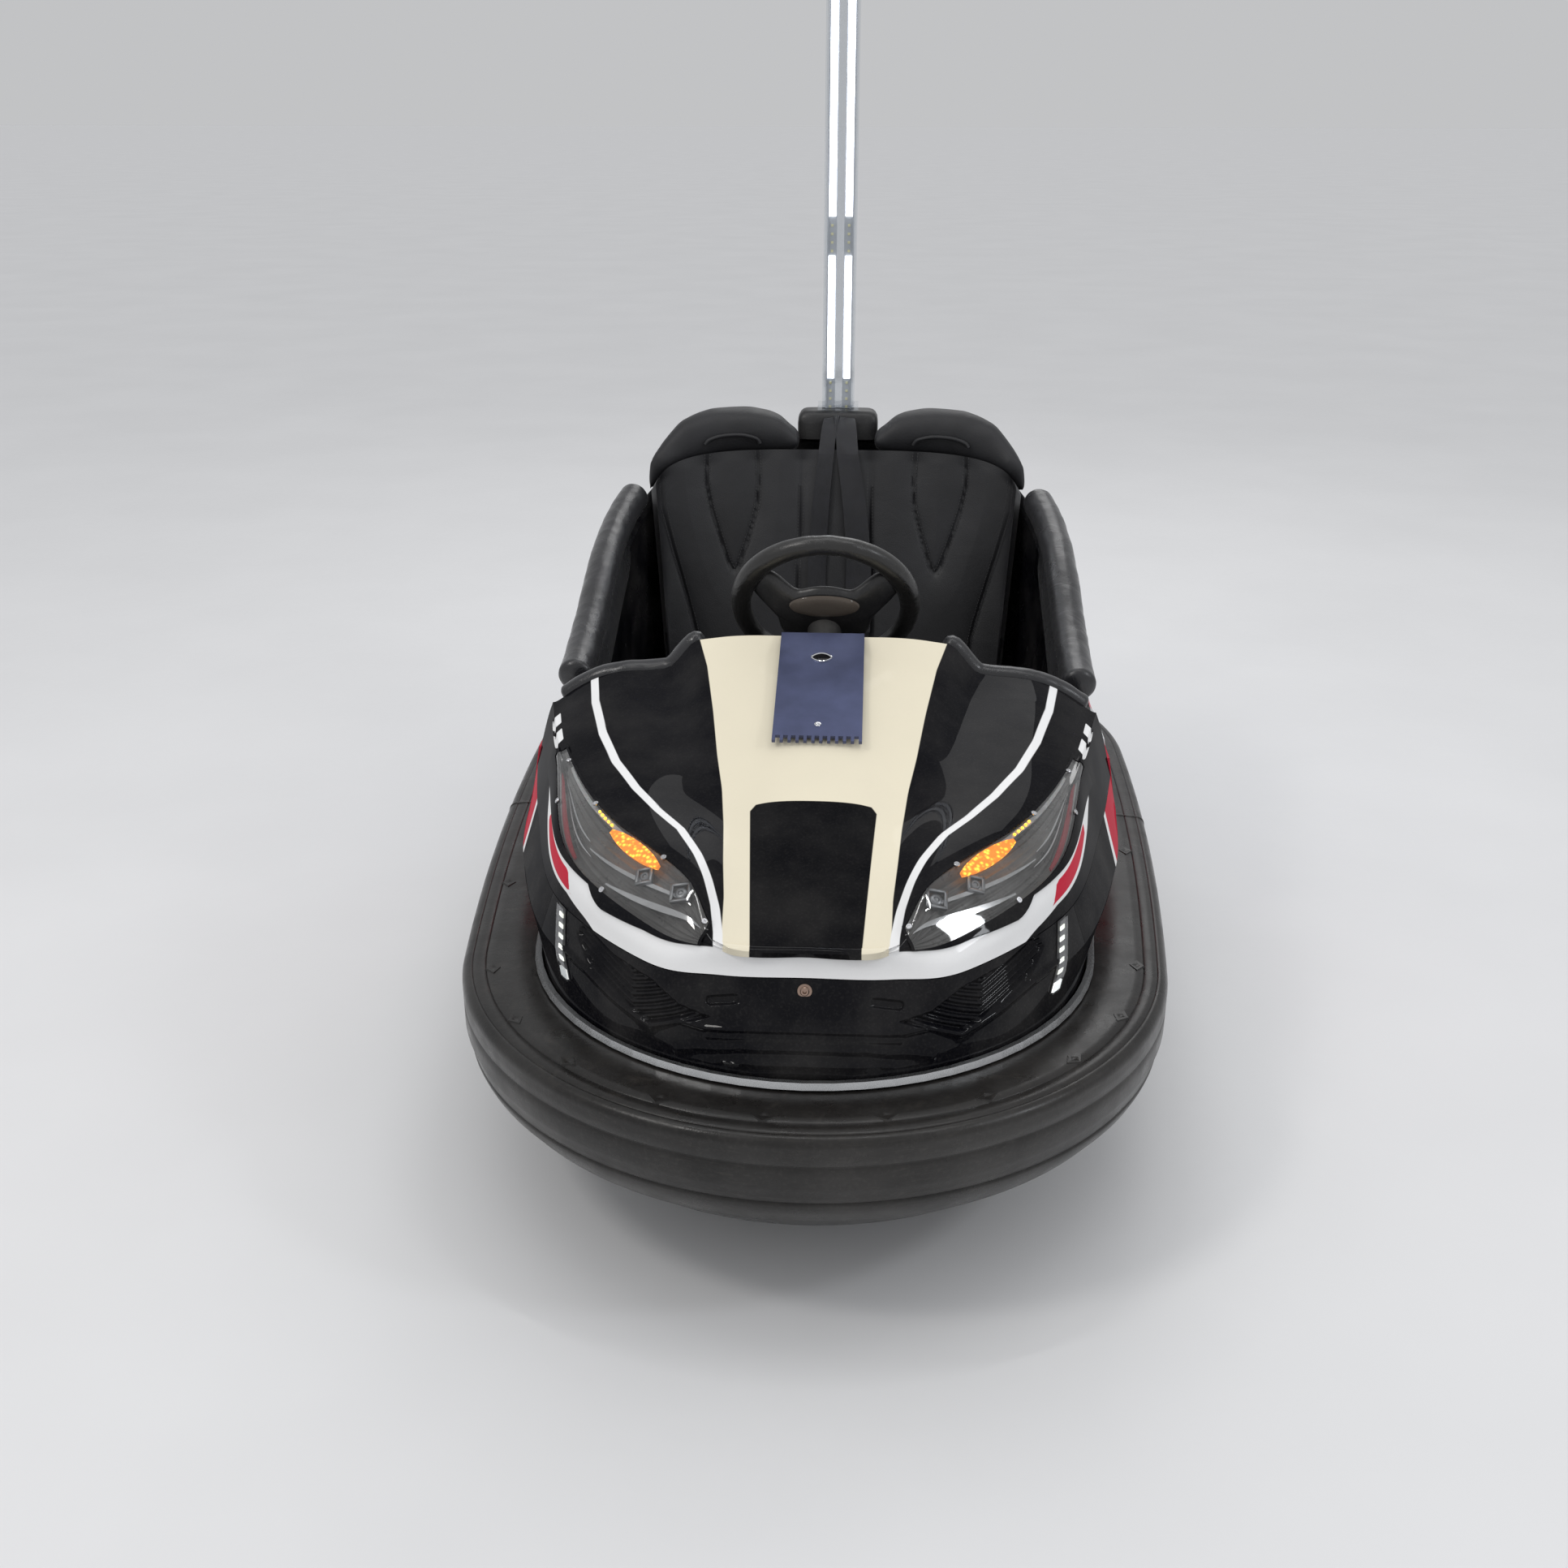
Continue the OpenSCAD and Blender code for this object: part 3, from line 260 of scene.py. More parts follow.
def rings_along(path, radius, count=20):
    """Round sections square to a path, radius one number or one a point."""
    path = np.asarray(path, float)
    d = np.gradient(path, axis=0)
    d /= np.linalg.norm(d, axis=1, keepdims=True)
    s = np.cross(d, np.broadcast_to(np.array([0.0, 0.0, 1.0]), d.shape))
    s /= np.linalg.norm(s, axis=1, keepdims=True)
    t = np.cross(s, d)
    a = np.linspace(0, 2 * math.pi, count, endpoint=False)
    r = np.broadcast_to(radius, len(path)).reshape(-1, 1, 1)
    round_it = np.cos(a)[None, :, None] * s[:, None] + np.sin(a)[None, :, None] * t[:, None]
    return path[:, None] + r * round_it


def lathe(name, profile, turns=48, matrix=None):
    """Body of revolution about Z from (radius, height) pairs, closed where the radius is nothing."""
    a = np.linspace(0, 2 * math.pi, turns, endpoint=False)
    p = np.array([[(r * math.cos(t), r * math.sin(t), z) for t in a] for r, z in profile])
    obj = loft(name, p, caps=True)
    if matrix is not None:
        obj.data.transform(matrix)
    return obj


def block(size, at=(0, 0, 0), matrix=None):
    """Points and faces of a bar with its long edges eased."""
    x, y, z = (s / 2 for s in size)
    e = min(x, y, z) * 0.35
    ring = [(x - e, -y), (x, -y + e), (x, y - e), (x - e, y), (e - x, y), (-x, y - e), (-x, e - y),
            (e - x, -y)]
    ends = (x - e) / x, (y - e) / y
    levels = [(-z, *ends), (e - z, 1, 1), (z - e, 1, 1), (z, *ends)]
    pts = np.array([(px * fx, py * fy, pz) for pz, fx, fy in levels for px, py in ring]) + np.asarray(at)
    if matrix is not None:
        pts = np.array([matrix @ Vector(p) for p in pts])
    faces = grid_faces(4, 8, wrap_v=True) + [list(range(7, -1, -1)), [24 + j for j in range(8)]]
    return pts, faces


def joined(name, parts):
    """One object from several (points, faces) pairs."""
    points, faces, k = [], [], 0
    for p, f in parts:
        points.append(np.asarray(p, float).reshape(-1, 3))
        faces += [[k + i for i in face] for face in f]
        k += len(points[-1])
    return new_object(name, np.concatenate(points), faces)


def recalc(obj):
    """Turns all faces of a mesh outwards."""
    bm = bmesh.new()
    bm.from_mesh(obj.data)
    bmesh.ops.recalc_face_normals(bm, faces=bm.faces)
    bm.to_mesh(obj.data)
    bm.free()
    return obj


def fit(obj, body, look, replaces=(), sharp=32):
    """Shades a piece, gives it its finish, ties it to its body and hides the nodes it replaces."""
    recalc(obj)
    obj.data.shade_smooth()
    obj.data.set_sharp_from_angle(angle=math.radians(sharp))
    obj.data.materials.clear()
    obj.data.materials.append(look)
    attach(obj, body)
    if replaces:
        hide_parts(*replaces)
    return obj


def dress(node, look):
    """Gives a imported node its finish, its shape left alone."""
    obj = NODES[node]
    for s in obj.material_slots:
        s.material = look
    if not obj.material_slots:
        obj.data.materials.append(look)


def line_distance(points, line):
    """Distance of 2-D points from a broken line, and how far along it they lie."""
    points, line = np.asarray(points, float), np.asarray(line, float)
    best = np.full(points.shape[:-1], 1e9)
    place = np.zeros(points.shape[:-1])
    run = 0.0
    for a, b in zip(line[:-1], line[1:]):
        d = b - a
        size = np.linalg.norm(d)
        t = np.clip(((points - a) @ d) / size**2, 0, 1)
        gap = np.linalg.norm(points - (a + t[..., None] * d), axis=-1)
        nearer = gap < best
        place = np.where(nearer, run + t * size, place)
        best = np.where(nearer, gap, best)
        run += size
    return best, place


# Finishes

class Finish:
    """One surface finish made of nodes round a Principled shader."""

    def __init__(self, name, **sockets):
        self.material = bpy.data.materials.new(name)
        self.material.use_nodes = True
        self.tree = self.material.node_tree
        self.shader = self.tree.nodes["Principled BSDF"]
        self.output = self.tree.nodes["Material Output"]
        for key, value in sockets.items():
            self.put(self.shader.inputs[key.replace("_", " ")], value)
        self.where = self.node("ShaderNodeTexCoord").outputs["Object"]

    def node(self, kind, **values):
        """Adds a node with some of its properties set."""
        node = self.tree.nodes.new(kind)
        for key, value in values.items():
            setattr(node, key, value)
        return node

    def put(self, socket, value):
        """Links or sets a socket."""
        if isinstance(value, bpy.types.NodeSocket):
            self.tree.links.new(value, socket)
        elif isinstance(value, tuple) and len(value) == 3 and socket.type == "RGBA":
            socket.default_value = (*value, 1)
        else:
            socket.default_value = value

    def grain(self, scale, detail=3.0, stretch=None, distort=0.0):
        """Cloudy noise from 0 to 1, on the piece's own metres."""
        node = self.node("ShaderNodeTexNoise")
        node.inputs["Scale"].default_value = scale
        node.inputs["Detail"].default_value = detail
        node.inputs["Roughness"].default_value = 0.55
        node.inputs["Distortion"].default_value = distort
        self.put(node.inputs["Vector"], self.scaled(stretch) if stretch else self.where)
        return node.outputs["Fac"]

    def scaled(self, by):
        """The object's own coordinates, each axis multiplied."""
        node = self.node("ShaderNodeMapping")
        self.put(node.inputs["Vector"], self.where)
        node.inputs["Scale"].default_value = by
        return node.outputs["Vector"]

    def cells(self, scale):
        """Distance from the middles of small cells."""
        node = self.node("ShaderNodeTexVoronoi", feature="F1")
        node.inputs["Scale"].default_value = scale
        self.put(node.inputs["Vector"], self.where)
        return node.outputs["Distance"]

    def waves(self, scale, axis="X", distort=0.0):
        """Even waves along an axis, from 0 to 1."""
        node = self.node("ShaderNodeTexWave", bands_direction=axis, wave_profile="SIN")
        node.inputs["Scale"].default_value = scale
        node.inputs["Distortion"].default_value = distort
        self.put(node.inputs["Vector"], self.where)
        return node.outputs["Fac"]

    def span(self, value, a, b, c=0.0, d=1.0):
        """Value taken from the span a to b into the span c to d."""
        node = self.node("ShaderNodeMapRange", interpolation_type="LINEAR")
        for key, number in zip(("Value", "From Min", "From Max", "To Min", "To Max"), (value, a, b, c, d)):
            self.put(node.inputs[key], number)
        return node.outputs["Result"]

    def past(self, value, edge, soft=0.0005):
        """Nothing below an edge and one past it, turning over a short way."""
        return self.span(value, edge - soft, edge + soft)

    def sum(self, op, a, b=0.0, c=0.0):
        """Sum of numbers or sockets by a named operation."""
        node = self.node("ShaderNodeMath", operation=op)
        for socket, value in zip(node.inputs, (a, b, c)):
            self.put(socket, value)
        return node.outputs["Value"]

    def blend(self, share, a, b):
        """Mix of two colours."""
        node = self.node("ShaderNodeMix", data_type="RGBA")
        self.put(node.inputs[0], share)
        self.put(node.inputs[6], a)
        self.put(node.inputs[7], b)
        return node.outputs[2]

    def value(self, name):
        """A number stored on the mesh's points."""
        return self.node("ShaderNodeAttribute", attribute_name=name).outputs["Fac"]

    def facing_out(self):
        """Above nothing where a face looks away from the car's middle line."""
        node = self.node("ShaderNodeVectorMath", operation="DOT_PRODUCT")
        flat = self.node("ShaderNodeVectorMath", operation="MULTIPLY")
        self.put(flat.inputs[0], self.where)
        flat.inputs[1].default_value = (1, 0.5, 0)
        self.put(node.inputs[0], flat.outputs[0])
        self.put(node.inputs[1], self.node("ShaderNodeNewGeometry").outputs["Normal"])
        return node.outputs["Value"]

    def facing_up(self):
        """One where the surface faces up, minus one where it faces down."""
        node = self.node("ShaderNodeSeparateXYZ")
        self.put(node.inputs[0], self.node("ShaderNodeNewGeometry").outputs["Normal"])
        return node.outputs["Z"]

    def axis(self, letter):
        """One of the object's own coordinates."""
        node = self.node("ShaderNodeSeparateXYZ")
        self.put(node.inputs[0], self.where)
        return node.outputs[letter]

    def bump(self, height, distance, strength=1.0):
        """Bumps the surface by a height."""
        node = self.node("ShaderNodeBump")
        node.inputs["Strength"].default_value = strength
        node.inputs["Distance"].default_value = distance
        self.put(node.inputs["Height"], height)
        self.put(self.shader.inputs["Normal"], node.outputs["Normal"])

    def colour(self, value):
        """Sets or links the base colour."""
        self.put(self.shader.inputs["Base Color"], value)

    def rough(self, value):
        """Sets or links the roughness."""
        self.put(self.shader.inputs["Roughness"], value)

    def done(self):
        """The finished material."""
        return self.material


def tint(colour, by):
    """Colour made lighter or darker."""
    return tuple(min(1.0, c * by) for c in colour)


FINISHES = {}


def finish(kind, *args):
    """A finish by its maker, made once for each set of arguments."""
    key = (kind.__name__, args)
    if key not in FINISHES:
        FINISHES[key] = kind(*args)
    return FINISHES[key]


def colours():
    """The car's colours, held by the scene."""
    return bpy.context.scene.car_colours


def sizes():
    """The car's detail sizes, held by the scene."""
    return bpy.context.scene.car_sizes


def rgb(name):
    """A colour of the car by its property."""
    return tuple(getattr(colours(), name))


def dusted(f, base, amount=0.25, scale=9.0):
    """Base colour with pale dust in clouds on what faces up."""
    cloud = f.span(f.grain(scale, 6.0), 0.42, 0.8)
    fine = f.span(f.grain(scale * 30, 2.0), 0.5, 0.75)
    share = f.sum("MULTIPLY", f.sum("MULTIPLY_ADD", fine, 0.35, cloud),
                  f.span(f.facing_up(), -0.1, 0.9, 0.1, amount))
    f.colour(f.blend(share, base, (0.30, 0.285, 0.265)))
    return share


def polish(f, base, dust, low, high, smudge=(14, 0.6), peel=(75, 0.25)):
    """Gives a shiny face its dust, its smudges between two roughnesses and faint orange peel."""
    share = dusted(f, base, dust)
    clouds = f.span(f.grain(smudge[0], 5.0, distort=smudge[1]), 0.4, 0.7, low, high)
    f.rough(f.sum("ADD", clouds, f.sum("MULTIPLY", share, 0.6)))
    f.bump(f.grain(peel[0], 2.0), 0.0004, peel[1])
    return f.done()


def mottled(f, scale, base, low, high):
    """Base colour in clouds between two shares of itself."""
    return f.blend(f.span(f.grain(scale), 0.3, 0.7), tint(base, low), tint(base, high))


def gloss(name, base, ribs=None):
    """Polished gelcoat or moulding, its peel swapped for ribs where they are given."""
    f = Finish(name, Coat_Weight=0.2, Coat_Roughness=0.02, Coat_IOR=1.6, Specular_IOR_Level=0.0)
    polish(f, mottled(f, 3.2, base, 0.85, 1.12), 0.05, 0.12, 0.28)
    if ribs:
        f.bump(f.waves(ribs, "Z"), 0.0008, 0.5)
    return f.done()


def gloss_black():
    """Black gelcoat."""
    return gloss("Gloss_Black", rgb("gloss_black"))


def livery():
    """Bonnet gelcoat: black with painted areas, each laid over the ones before it."""
    f = Finish("Bonnet_Livery", Coat_Weight=0.16, Coat_Roughness=0.02, Coat_IOR=1.6, Specular_IOR_Level=0.0)
    black = rgb("gloss_black")
    white = mottled(f, 2.6, rgb("band_white"), 0.95, 1.0)
    areas = {"stripe": mottled(f, 2.1, rgb("cream"), 0.95, 1.03), "pin": white, "inset": tint(black, 0.7),
             "band": white, "bars": rgb("flank_red"), "pocket": (0.012, 0.012, 0.013)}
    base = mottled(f, 3.2, black, 0.8, 1.2)
    for area, colour in areas.items():
        base = f.blend(f.past(f.value(area), 0, 0.0006), base, colour)
    return polish(f, base, 0.05, 0.10, 0.24, peel=(75, 0.22))


def rear_quarter(f, base):
    """Blue rear quarter with a white line ahead of it, laid over a base colour."""
    slope = f.sum("MULTIPLY_ADD", f.axis("Z"), 0.8, f.axis("Y"))
    base = f.blend(f.past(slope, 0.74), base, rgb("band_white"))
    return f.blend(f.past(slope, 0.76), base, rgb("quarter_blue"))


def black_inside(f, base):
    """Base colour where a face looks away from the car's middle, black elsewhere."""
    return f.blend(f.span(f.facing_out(), -0.08, -0.06), rgb("gloss_black"), base)


def flank_paint():
    """Red flank with a white edge line ahead of it and a blue rear quarter."""
    f = Finish("Flank_Paint", Coat_Weight=0.13, Coat_Roughness=0.03, Coat_IOR=1.6, Specular_IOR_Level=0.0)
    slope = f.sum("MULTIPLY_ADD", f.axis("Z"), -0.55, f.axis("Y"))
    base = f.blend(f.past(slope, -0.56), rgb("gloss_black"), rgb("band_white"))
    base = rear_quarter(f, f.blend(f.past(slope, -0.54), base, rgb("flank_red")))
    base = f.blend(f.span(f.grain(4.0), 0.3, 0.7, 0.0, 0.12), base, (0.02, 0.02, 0.02))
    return polish(f, black_inside(f, base), 0.07, 0.14, 0.3, (12, 0.5), (70, 0.25))


def tub_paint():
    """Cockpit tub: painted outside, black inside and over its rim."""
    f = Finish("Tub_Paint", Coat_Weight=0.18, Coat_Roughness=0.03, Coat_IOR=1.6, Specular_IOR_Level=0.02)
    base = rear_quarter(f, rgb("flank_red"))
    base = f.blend(f.span(f.value("inside"), 0.45, 0.55), base, rgb("gloss_black"))
    return polish(f, black_inside(f, base), 0.09, 0.13, 0.3, (12, 0.5), (70, 0.25))


def bumper_rubber():
    """Moulded rubber with a dusty sheen, scuffs round the outer face and fine pores."""
    f = Finish("Bumper_Rubber", Sheen_Weight=0.02, Sheen_Roughness=0.5, Specular_IOR_Level=0.42)
    base = f.blend(f.span(f.grain(5.0, 6.0), 0.35, 0.7), tint(rgb("rubber"), 0.45), tint(rgb("rubber"), 1.0))
    scuff = f.span(f.grain(26, 5.0, stretch=(1.0, 1.0, 7.0), distort=1.2), 0.56, 0.74)
    base = f.blend(f.sum("MULTIPLY", scuff, 0.22), base, (0.060, 0.052, 0.044))
    share = dusted(f, base, 0.05, 6.0)
    f.rough(f.sum("ADD", f.span(f.grain(18, 6.0), 0.35, 0.7, 0.24, 0.40), f.sum("MULTIPLY", share, 0.35)))
    pores = f.sum("MULTIPLY_ADD", f.grain(420, 2.0), 0.35, f.grain(60, 4.0))
    f.bump(pores, 0.0011, 0.35)
    return f.done()


def vinyl(name, base, wrinkle=0.3, low=0.42, high=0.58, coat=0.0):
    """Stitched leatherette: fine pebble grain, soft wrinkles and a slight shine where it is touched."""
    f = Finish(name, Coat_Weight=coat, Coat_Roughness=0.25, Sheen_Weight=0.05, Sheen_Roughness=0.4)
    worn = f.span(f.grain(6.0, 5.0), 0.35, 0.7)
    f.colour(f.blend(worn, tint(base, 0.75), tint(base, 1.35)))
    f.rough(f.span(f.grain(9.0, 5.0), 0.35, 0.7, low, high))
    pebble = f.span(f.cells(520), 0.0, 0.6)
    fold = f.span(f.grain(17, 4.0, distort=1.4), 0.35, 0.65)
    f.bump(f.sum("MULTIPLY_ADD", fold, 3.0 * wrinkle, f.sum("MULTIPLY", pebble, 0.35)), 0.0011, 0.5)
    return f.done()


def webbing():
    """Woven belt with ribs along it."""
    f = Finish("Webbing", Sheen_Weight=0.04, Sheen_Roughness=0.5)
    f.colour(f.blend(f.span(f.grain(60, 3.0), 0.35, 0.7), tint(rgb("webbing"), 0.8),
                     tint(rgb("webbing"), 1.5)))
    f.rough(f.span(f.grain(30, 3.0), 0.3, 0.7, 0.38, 0.55))
    rib = f.waves(230, "X", 0.4)
    pick = f.waves(420, "Z", 0.2)
    f.bump(f.sum("MULTIPLY_ADD", pick, 0.4, rib), 0.0005, 0.6)
    return f.done()


def metal(name, base, low=0.25, high=0.42, brush=None, grime=0.25, bump=0.25):
    """Bare or plated metal with brushing, finger marks and grime."""
    f = Finish(name, Metallic=1.0)
    streak = f.grain(40, 5.0, stretch=brush) if brush else f.grain(25, 5.0)
    dirt = f.span(f.grain(7.0, 6.0), 0.5, 0.75, 0.0, grime)
    f.colour(f.blend(dirt, f.blend(f.span(streak, 0.3, 0.7), tint(base, 0.82), tint(base, 1.1)),
                     (0.09, 0.075, 0.06)))
    f.rough(f.sum("MULTIPLY_ADD", dirt, 0.5, f.span(streak, 0.3, 0.7, low, high)))
    f.bump(streak, 0.0004, bump)
    return f.done()


def coated_steel(name, base, rust=0.3):
    """Sprayed steel, chipped and rusty at random spots."""
    f = Finish(name)
    spots = f.span(f.grain(22, 6.0, distort=0.8), 0.62, 0.7, 0.0, rust)
    body = f.blend(f.span(f.grain(5.0), 0.3, 0.7), tint(base, 0.8), tint(base, 1.2))
    f.colour(f.blend(spots, body, (0.16, 0.065, 0.03)))
    f.rough(f.sum("ADD", f.span(f.grain(12, 4.0), 0.3, 0.7, 0.4, 0.55), f.sum("MULTIPLY", spots, 0.6)))
    f.bump(f.sum("MULTIPLY_ADD", f.grain(150, 3.0), 0.4, spots), 0.0006, 0.4)
    return f.done()


def plastic(name, base, low=0.35, high=0.5):
    """Moulded plastic with a fine spark-eroded texture."""
    f = Finish(name)
    share = dusted(f, f.blend(f.span(f.grain(5.0), 0.3, 0.7), tint(base, 0.85), tint(base, 1.2)), 0.14)
    f.rough(f.sum("ADD", f.span(f.grain(16, 4.0), 0.3, 0.7, low, high), f.sum("MULTIPLY", share, 0.3)))
    f.bump(f.grain(240, 2.0), 0.0004, 0.5)
    return f.done()


def clear(name, tone, rough=0.03):
    """Clear moulding: mostly see-through, with a reflecting face and scratches in its shine."""
    f = Finish(name)
    tree = f.tree
    see = f.node("ShaderNodeBsdfTransparent")
    see.inputs["Color"].default_value = (*tone, 1)
    shine = f.node("ShaderNodeBsdfGlossy")
    shine.inputs["Color"].default_value = (1, 1, 1, 1)
    f.put(shine.inputs["Roughness"], f.span(f.grain(30, 4.0, distort=0.5), 0.4, 0.7, rough, rough * 3))
    facing = f.node("ShaderNodeLayerWeight")
    facing.inputs["Blend"].default_value = 0.5
    glance = f.sum("POWER", facing.outputs["Facing"], 4.0)
    share = f.sum("ADD", f.sum("MULTIPLY_ADD", glance, 0.8, 0.04),
                  f.span(f.grain(5.0), 0.4, 0.8, 0.0, 0.048))
    mixer = f.node("ShaderNodeMixShader")
    f.put(mixer.inputs[0], share)
    tree.links.new(see.outputs[0], mixer.inputs[1])
    tree.links.new(shine.outputs[0], mixer.inputs[2])
    tree.links.new(mixer.outputs[0], f.output.inputs["Surface"])
    tree.nodes.remove(f.shader)
    return f.material


def glow(name, base, strength):
    """Lit lamp body, brighter in its middle clouds than at its rim."""
    f = Finish(name, Roughness=0.3)
    f.colour(base)
    f.put(f.shader.inputs["Emission Color"],
          f.blend(f.span(f.grain(90, 2.0), 0.3, 0.7), base, tint(base, 1.2)))
    power = f.span(f.grain(60, 2.0), 0.3, 0.7, strength * 0.75, strength * 1.25)
    f.put(f.shader.inputs["Emission Strength"], power)
    return f.done()


def tread_plate():
    """Bright chequer plate with raised bars."""
    f = Finish("Tread_Plate", Metallic=1.0)
    bars = f.sum("MAXIMUM", f.span(f.waves(58, "Y"), 0.45, 0.8), 0.0)
    f.colour(f.blend(f.span(f.grain(18, 5.0), 0.35, 0.7), (0.55, 0.56, 0.58), (0.78, 0.79, 0.80)))
    f.rough(f.span(f.grain(30, 4.0), 0.3, 0.7, 0.2, 0.38))
    f.bump(bars, 0.0015, 0.8)
    return f.done()


def tyre_rubber():
    """Dull black rubber, dusty on top."""
    f = Finish("Tyre_Rubber")
    share = dusted(f, f.blend(f.span(f.grain(9.0, 5.0), 0.35, 0.7), (0.012, 0.012, 0.012),
                              (0.035, 0.033, 0.031)), 0.3)
    f.rough(f.sum("ADD", f.span(f.grain(20, 5.0), 0.3, 0.7, 0.55, 0.75), f.sum("MULTIPLY", share, 0.2)))
    f.bump(f.grain(260, 3.0), 0.0008, 0.5)
    return f.done()


# Sweep round the ring

def ring_stations(nose=150, flank=36, tail=120):
    """Rows of centre, radius and angle round the ring: nose, right flank, tail and left flank."""
    rows = [(0, NOSE_CY, NOSE_R, 180 + FLANK_A + (180 - 2 * FLANK_A) * i / nose) for i in range(nose + 1)]
    rows += [(FLANK_CX, TAIL_CY, FLANK_R, -FLANK_A + FLANK_A * i / flank) for i in range(1, flank)]
    rows += [(0, TAIL_CY, REAR_R, 180 * i / tail) for i in range(tail + 1)]
    rows += [(-FLANK_CX, TAIL_CY, FLANK_R, 180 + FLANK_A * i / flank) for i in range(1, flank)]
    return np.array(rows)


def ring_points(stations, profile):
    """Sweep of (depth, height) pairs round the ring's stations."""
    a = np.radians(stations[:, 3])[:, None]
    d, z = np.array(profile).T
    r = stations[:, 2:3] - d
    return np.stack([stations[:, 0:1] + r * np.cos(a), stations[:, 1:2] + r * np.sin(a),
                     np.broadcast_to(z, r.shape)], -1)


def arc(c, r, a0, a1, n):
    """Points of an arc round c between two angles in degrees."""
    angles = [math.radians(a0 + (a1 - a0) * i / n) for i in range(n + 1)]
    return [(c[0] + r * math.cos(a), c[1] + r * math.sin(a)) for a in angles]


def bumper_profile():
    """Section of the rubber, in metres from the outer edge and over the floor."""
    mm = [(120, 125), (96, 125), (80, 140.5), (64, 156), (49, 167), (34, 178), (24, 191), (14, 204),
          (10, 212), (7, 220), (7, 223), (8.5, 225), (7, 227),
          (4.5, 236), (2, 246), (0, 252), (0, 268), (0, 281), (1.6, 283), (1.6, 285), (0, 287), (0, 300),
          (0, 309)]
    mm += arc((15, 309), 15, 170, 110, 6)
    mm += [(14, 324.0), (16, 322.6), (18, 324.2), (24, 324.6), (34, 325.4), (36, 323.8), (38, 325.6),
           (50, 326.2), (62, 326.6), (72, 327), (90, 325.4), (106, 324), (120, 323)]
    return [(d * 0.001, z * 0.001) for d, z in mm]


# Bonnet

PIN_LINE = [(0.376, -0.120), (0.376, -0.131), (0.361, -0.218), (0.332, -0.33), (0.299, -0.419),
            (0.259, -0.494), (0.22, -0.549), (0.183, -0.593),
            (0.154, -0.649), (0.136, -0.693), (0.123, -0.732), (0.116, -0.77), (0.114, -0.80)]
STRIPE_HALF = [(-0.83, 0.110), (-0.79, 0.1105), (-0.71, 0.113), (-0.65, 0.119), (-0.56, 0.126),
               (-0.48, 0.135), (-0.41, 0.148), (-0.31, 0.163), (-0.20, 0.182), (-0.12, 0.203)]
INSET_HALF = [(-0.80, 0.0725), (-0.525, 0.091)]


def lamp_share(u):
    """Depth share of the lamp pocket at stations u, nothing outside it."""
    q = (np.abs(u) - LAMP_U[0]) / (LAMP_U[1] - LAMP_U[0])
    return np.where((q > 0) & (q < 1), np.sqrt(np.maximum(0, np.sin(np.pi * np.clip(q, 0, 1)))), 0)


def band_edges(u):
    """Levels of the white nose band's upper and lower edges at stations u."""
    top = np.interp(u, [0, 1.15, 1.3, 1.42, 2.1, 2.5, 2.58, 2.68, 2.96, 3.32, 3.66, 4.05],
                    [2.02, 2.02, 2.0, 2.0, 1.9, 1.72, 1.80, 1.98, 1.92, 1.82, 1.72, 1.62])
    low = np.interp(u, [2.45, 2.62, 2.86, 3.3, 3.7, 4.05], [0.9, 1.15, 1.36, 1.38, 1.45, 1.62])
    return top, low


def livery_values(grid, us, vs):
    """Signed distances, in metres, from the edges of each painted area."""
    x, y = np.abs(grid[..., 0]), grid[..., 1]
    u, v = np.abs(us)[:, None] + 0 * vs[None], vs[None] + 0 * us[:, None]
    across = np.stack([x, y], -1)
    pin, _ = line_distance(across, np.array(PIN_LINE))
    ys, half = np.array(STRIPE_HALF).T
    stripe = np.interp(y, ys, half) - x
    ys, half = np.array(INSET_HALF).T
    inset = np.minimum(np.minimum(np.interp(y, ys, half) - x, -0.525 - y), (v - 2.02) * 0.03)
    metres = np.linalg.norm(skin(us, [2.5])[:, 0] - skin(us, [1.5])[:, 0], axis=1)[:, None]
    top, low = band_edges(u)
    band = np.minimum(top - v, v - low) * metres
    for mid in (4.26, 4.52):
        lean = mid + (v - 2.5) * 0.14
        band = np.maximum(band,
                          np.minimum(0.085 - np.abs(u - lean), np.minimum(v - 2.08, 2.92 - v) * 0.5) * 0.2)
    share = lamp_share(u)
    pocket = np.minimum(np.minimum(v - 2.03, 2.97 - v) * metres, np.where(share > 0, share * 0.02, -0.01))
    lean = u + (1.6 - v) * 0.25
    bars = np.minimum(np.minimum(lean - 2.86, 3.62 - lean) * 0.2,
                      np.minimum(v - low - 0.09, top - 0.09 - v) * metres)
    return {"stripe": stripe, "pin": sizes().pin_stripe / 2 - pin, "inset": inset, "band": band,
            "pocket": pocket, "bars": bars}


def pocket_share(v):
    """Depth share of the lamp pocket at levels v."""
    return np.interp(v, [2.0, 2.1, 2.9, 3.0], [0, 1, 1, 0])


def shell_grid(us, vs):
    """Bonnet grid with its lamp pockets, and the grid without them."""
    base = skin(us, vs)
    depth = POCKET_D * lamp_share(us)[:, None] * pocket_share(vs)[None]
    return base - depth[..., None] * normals_of(base), base


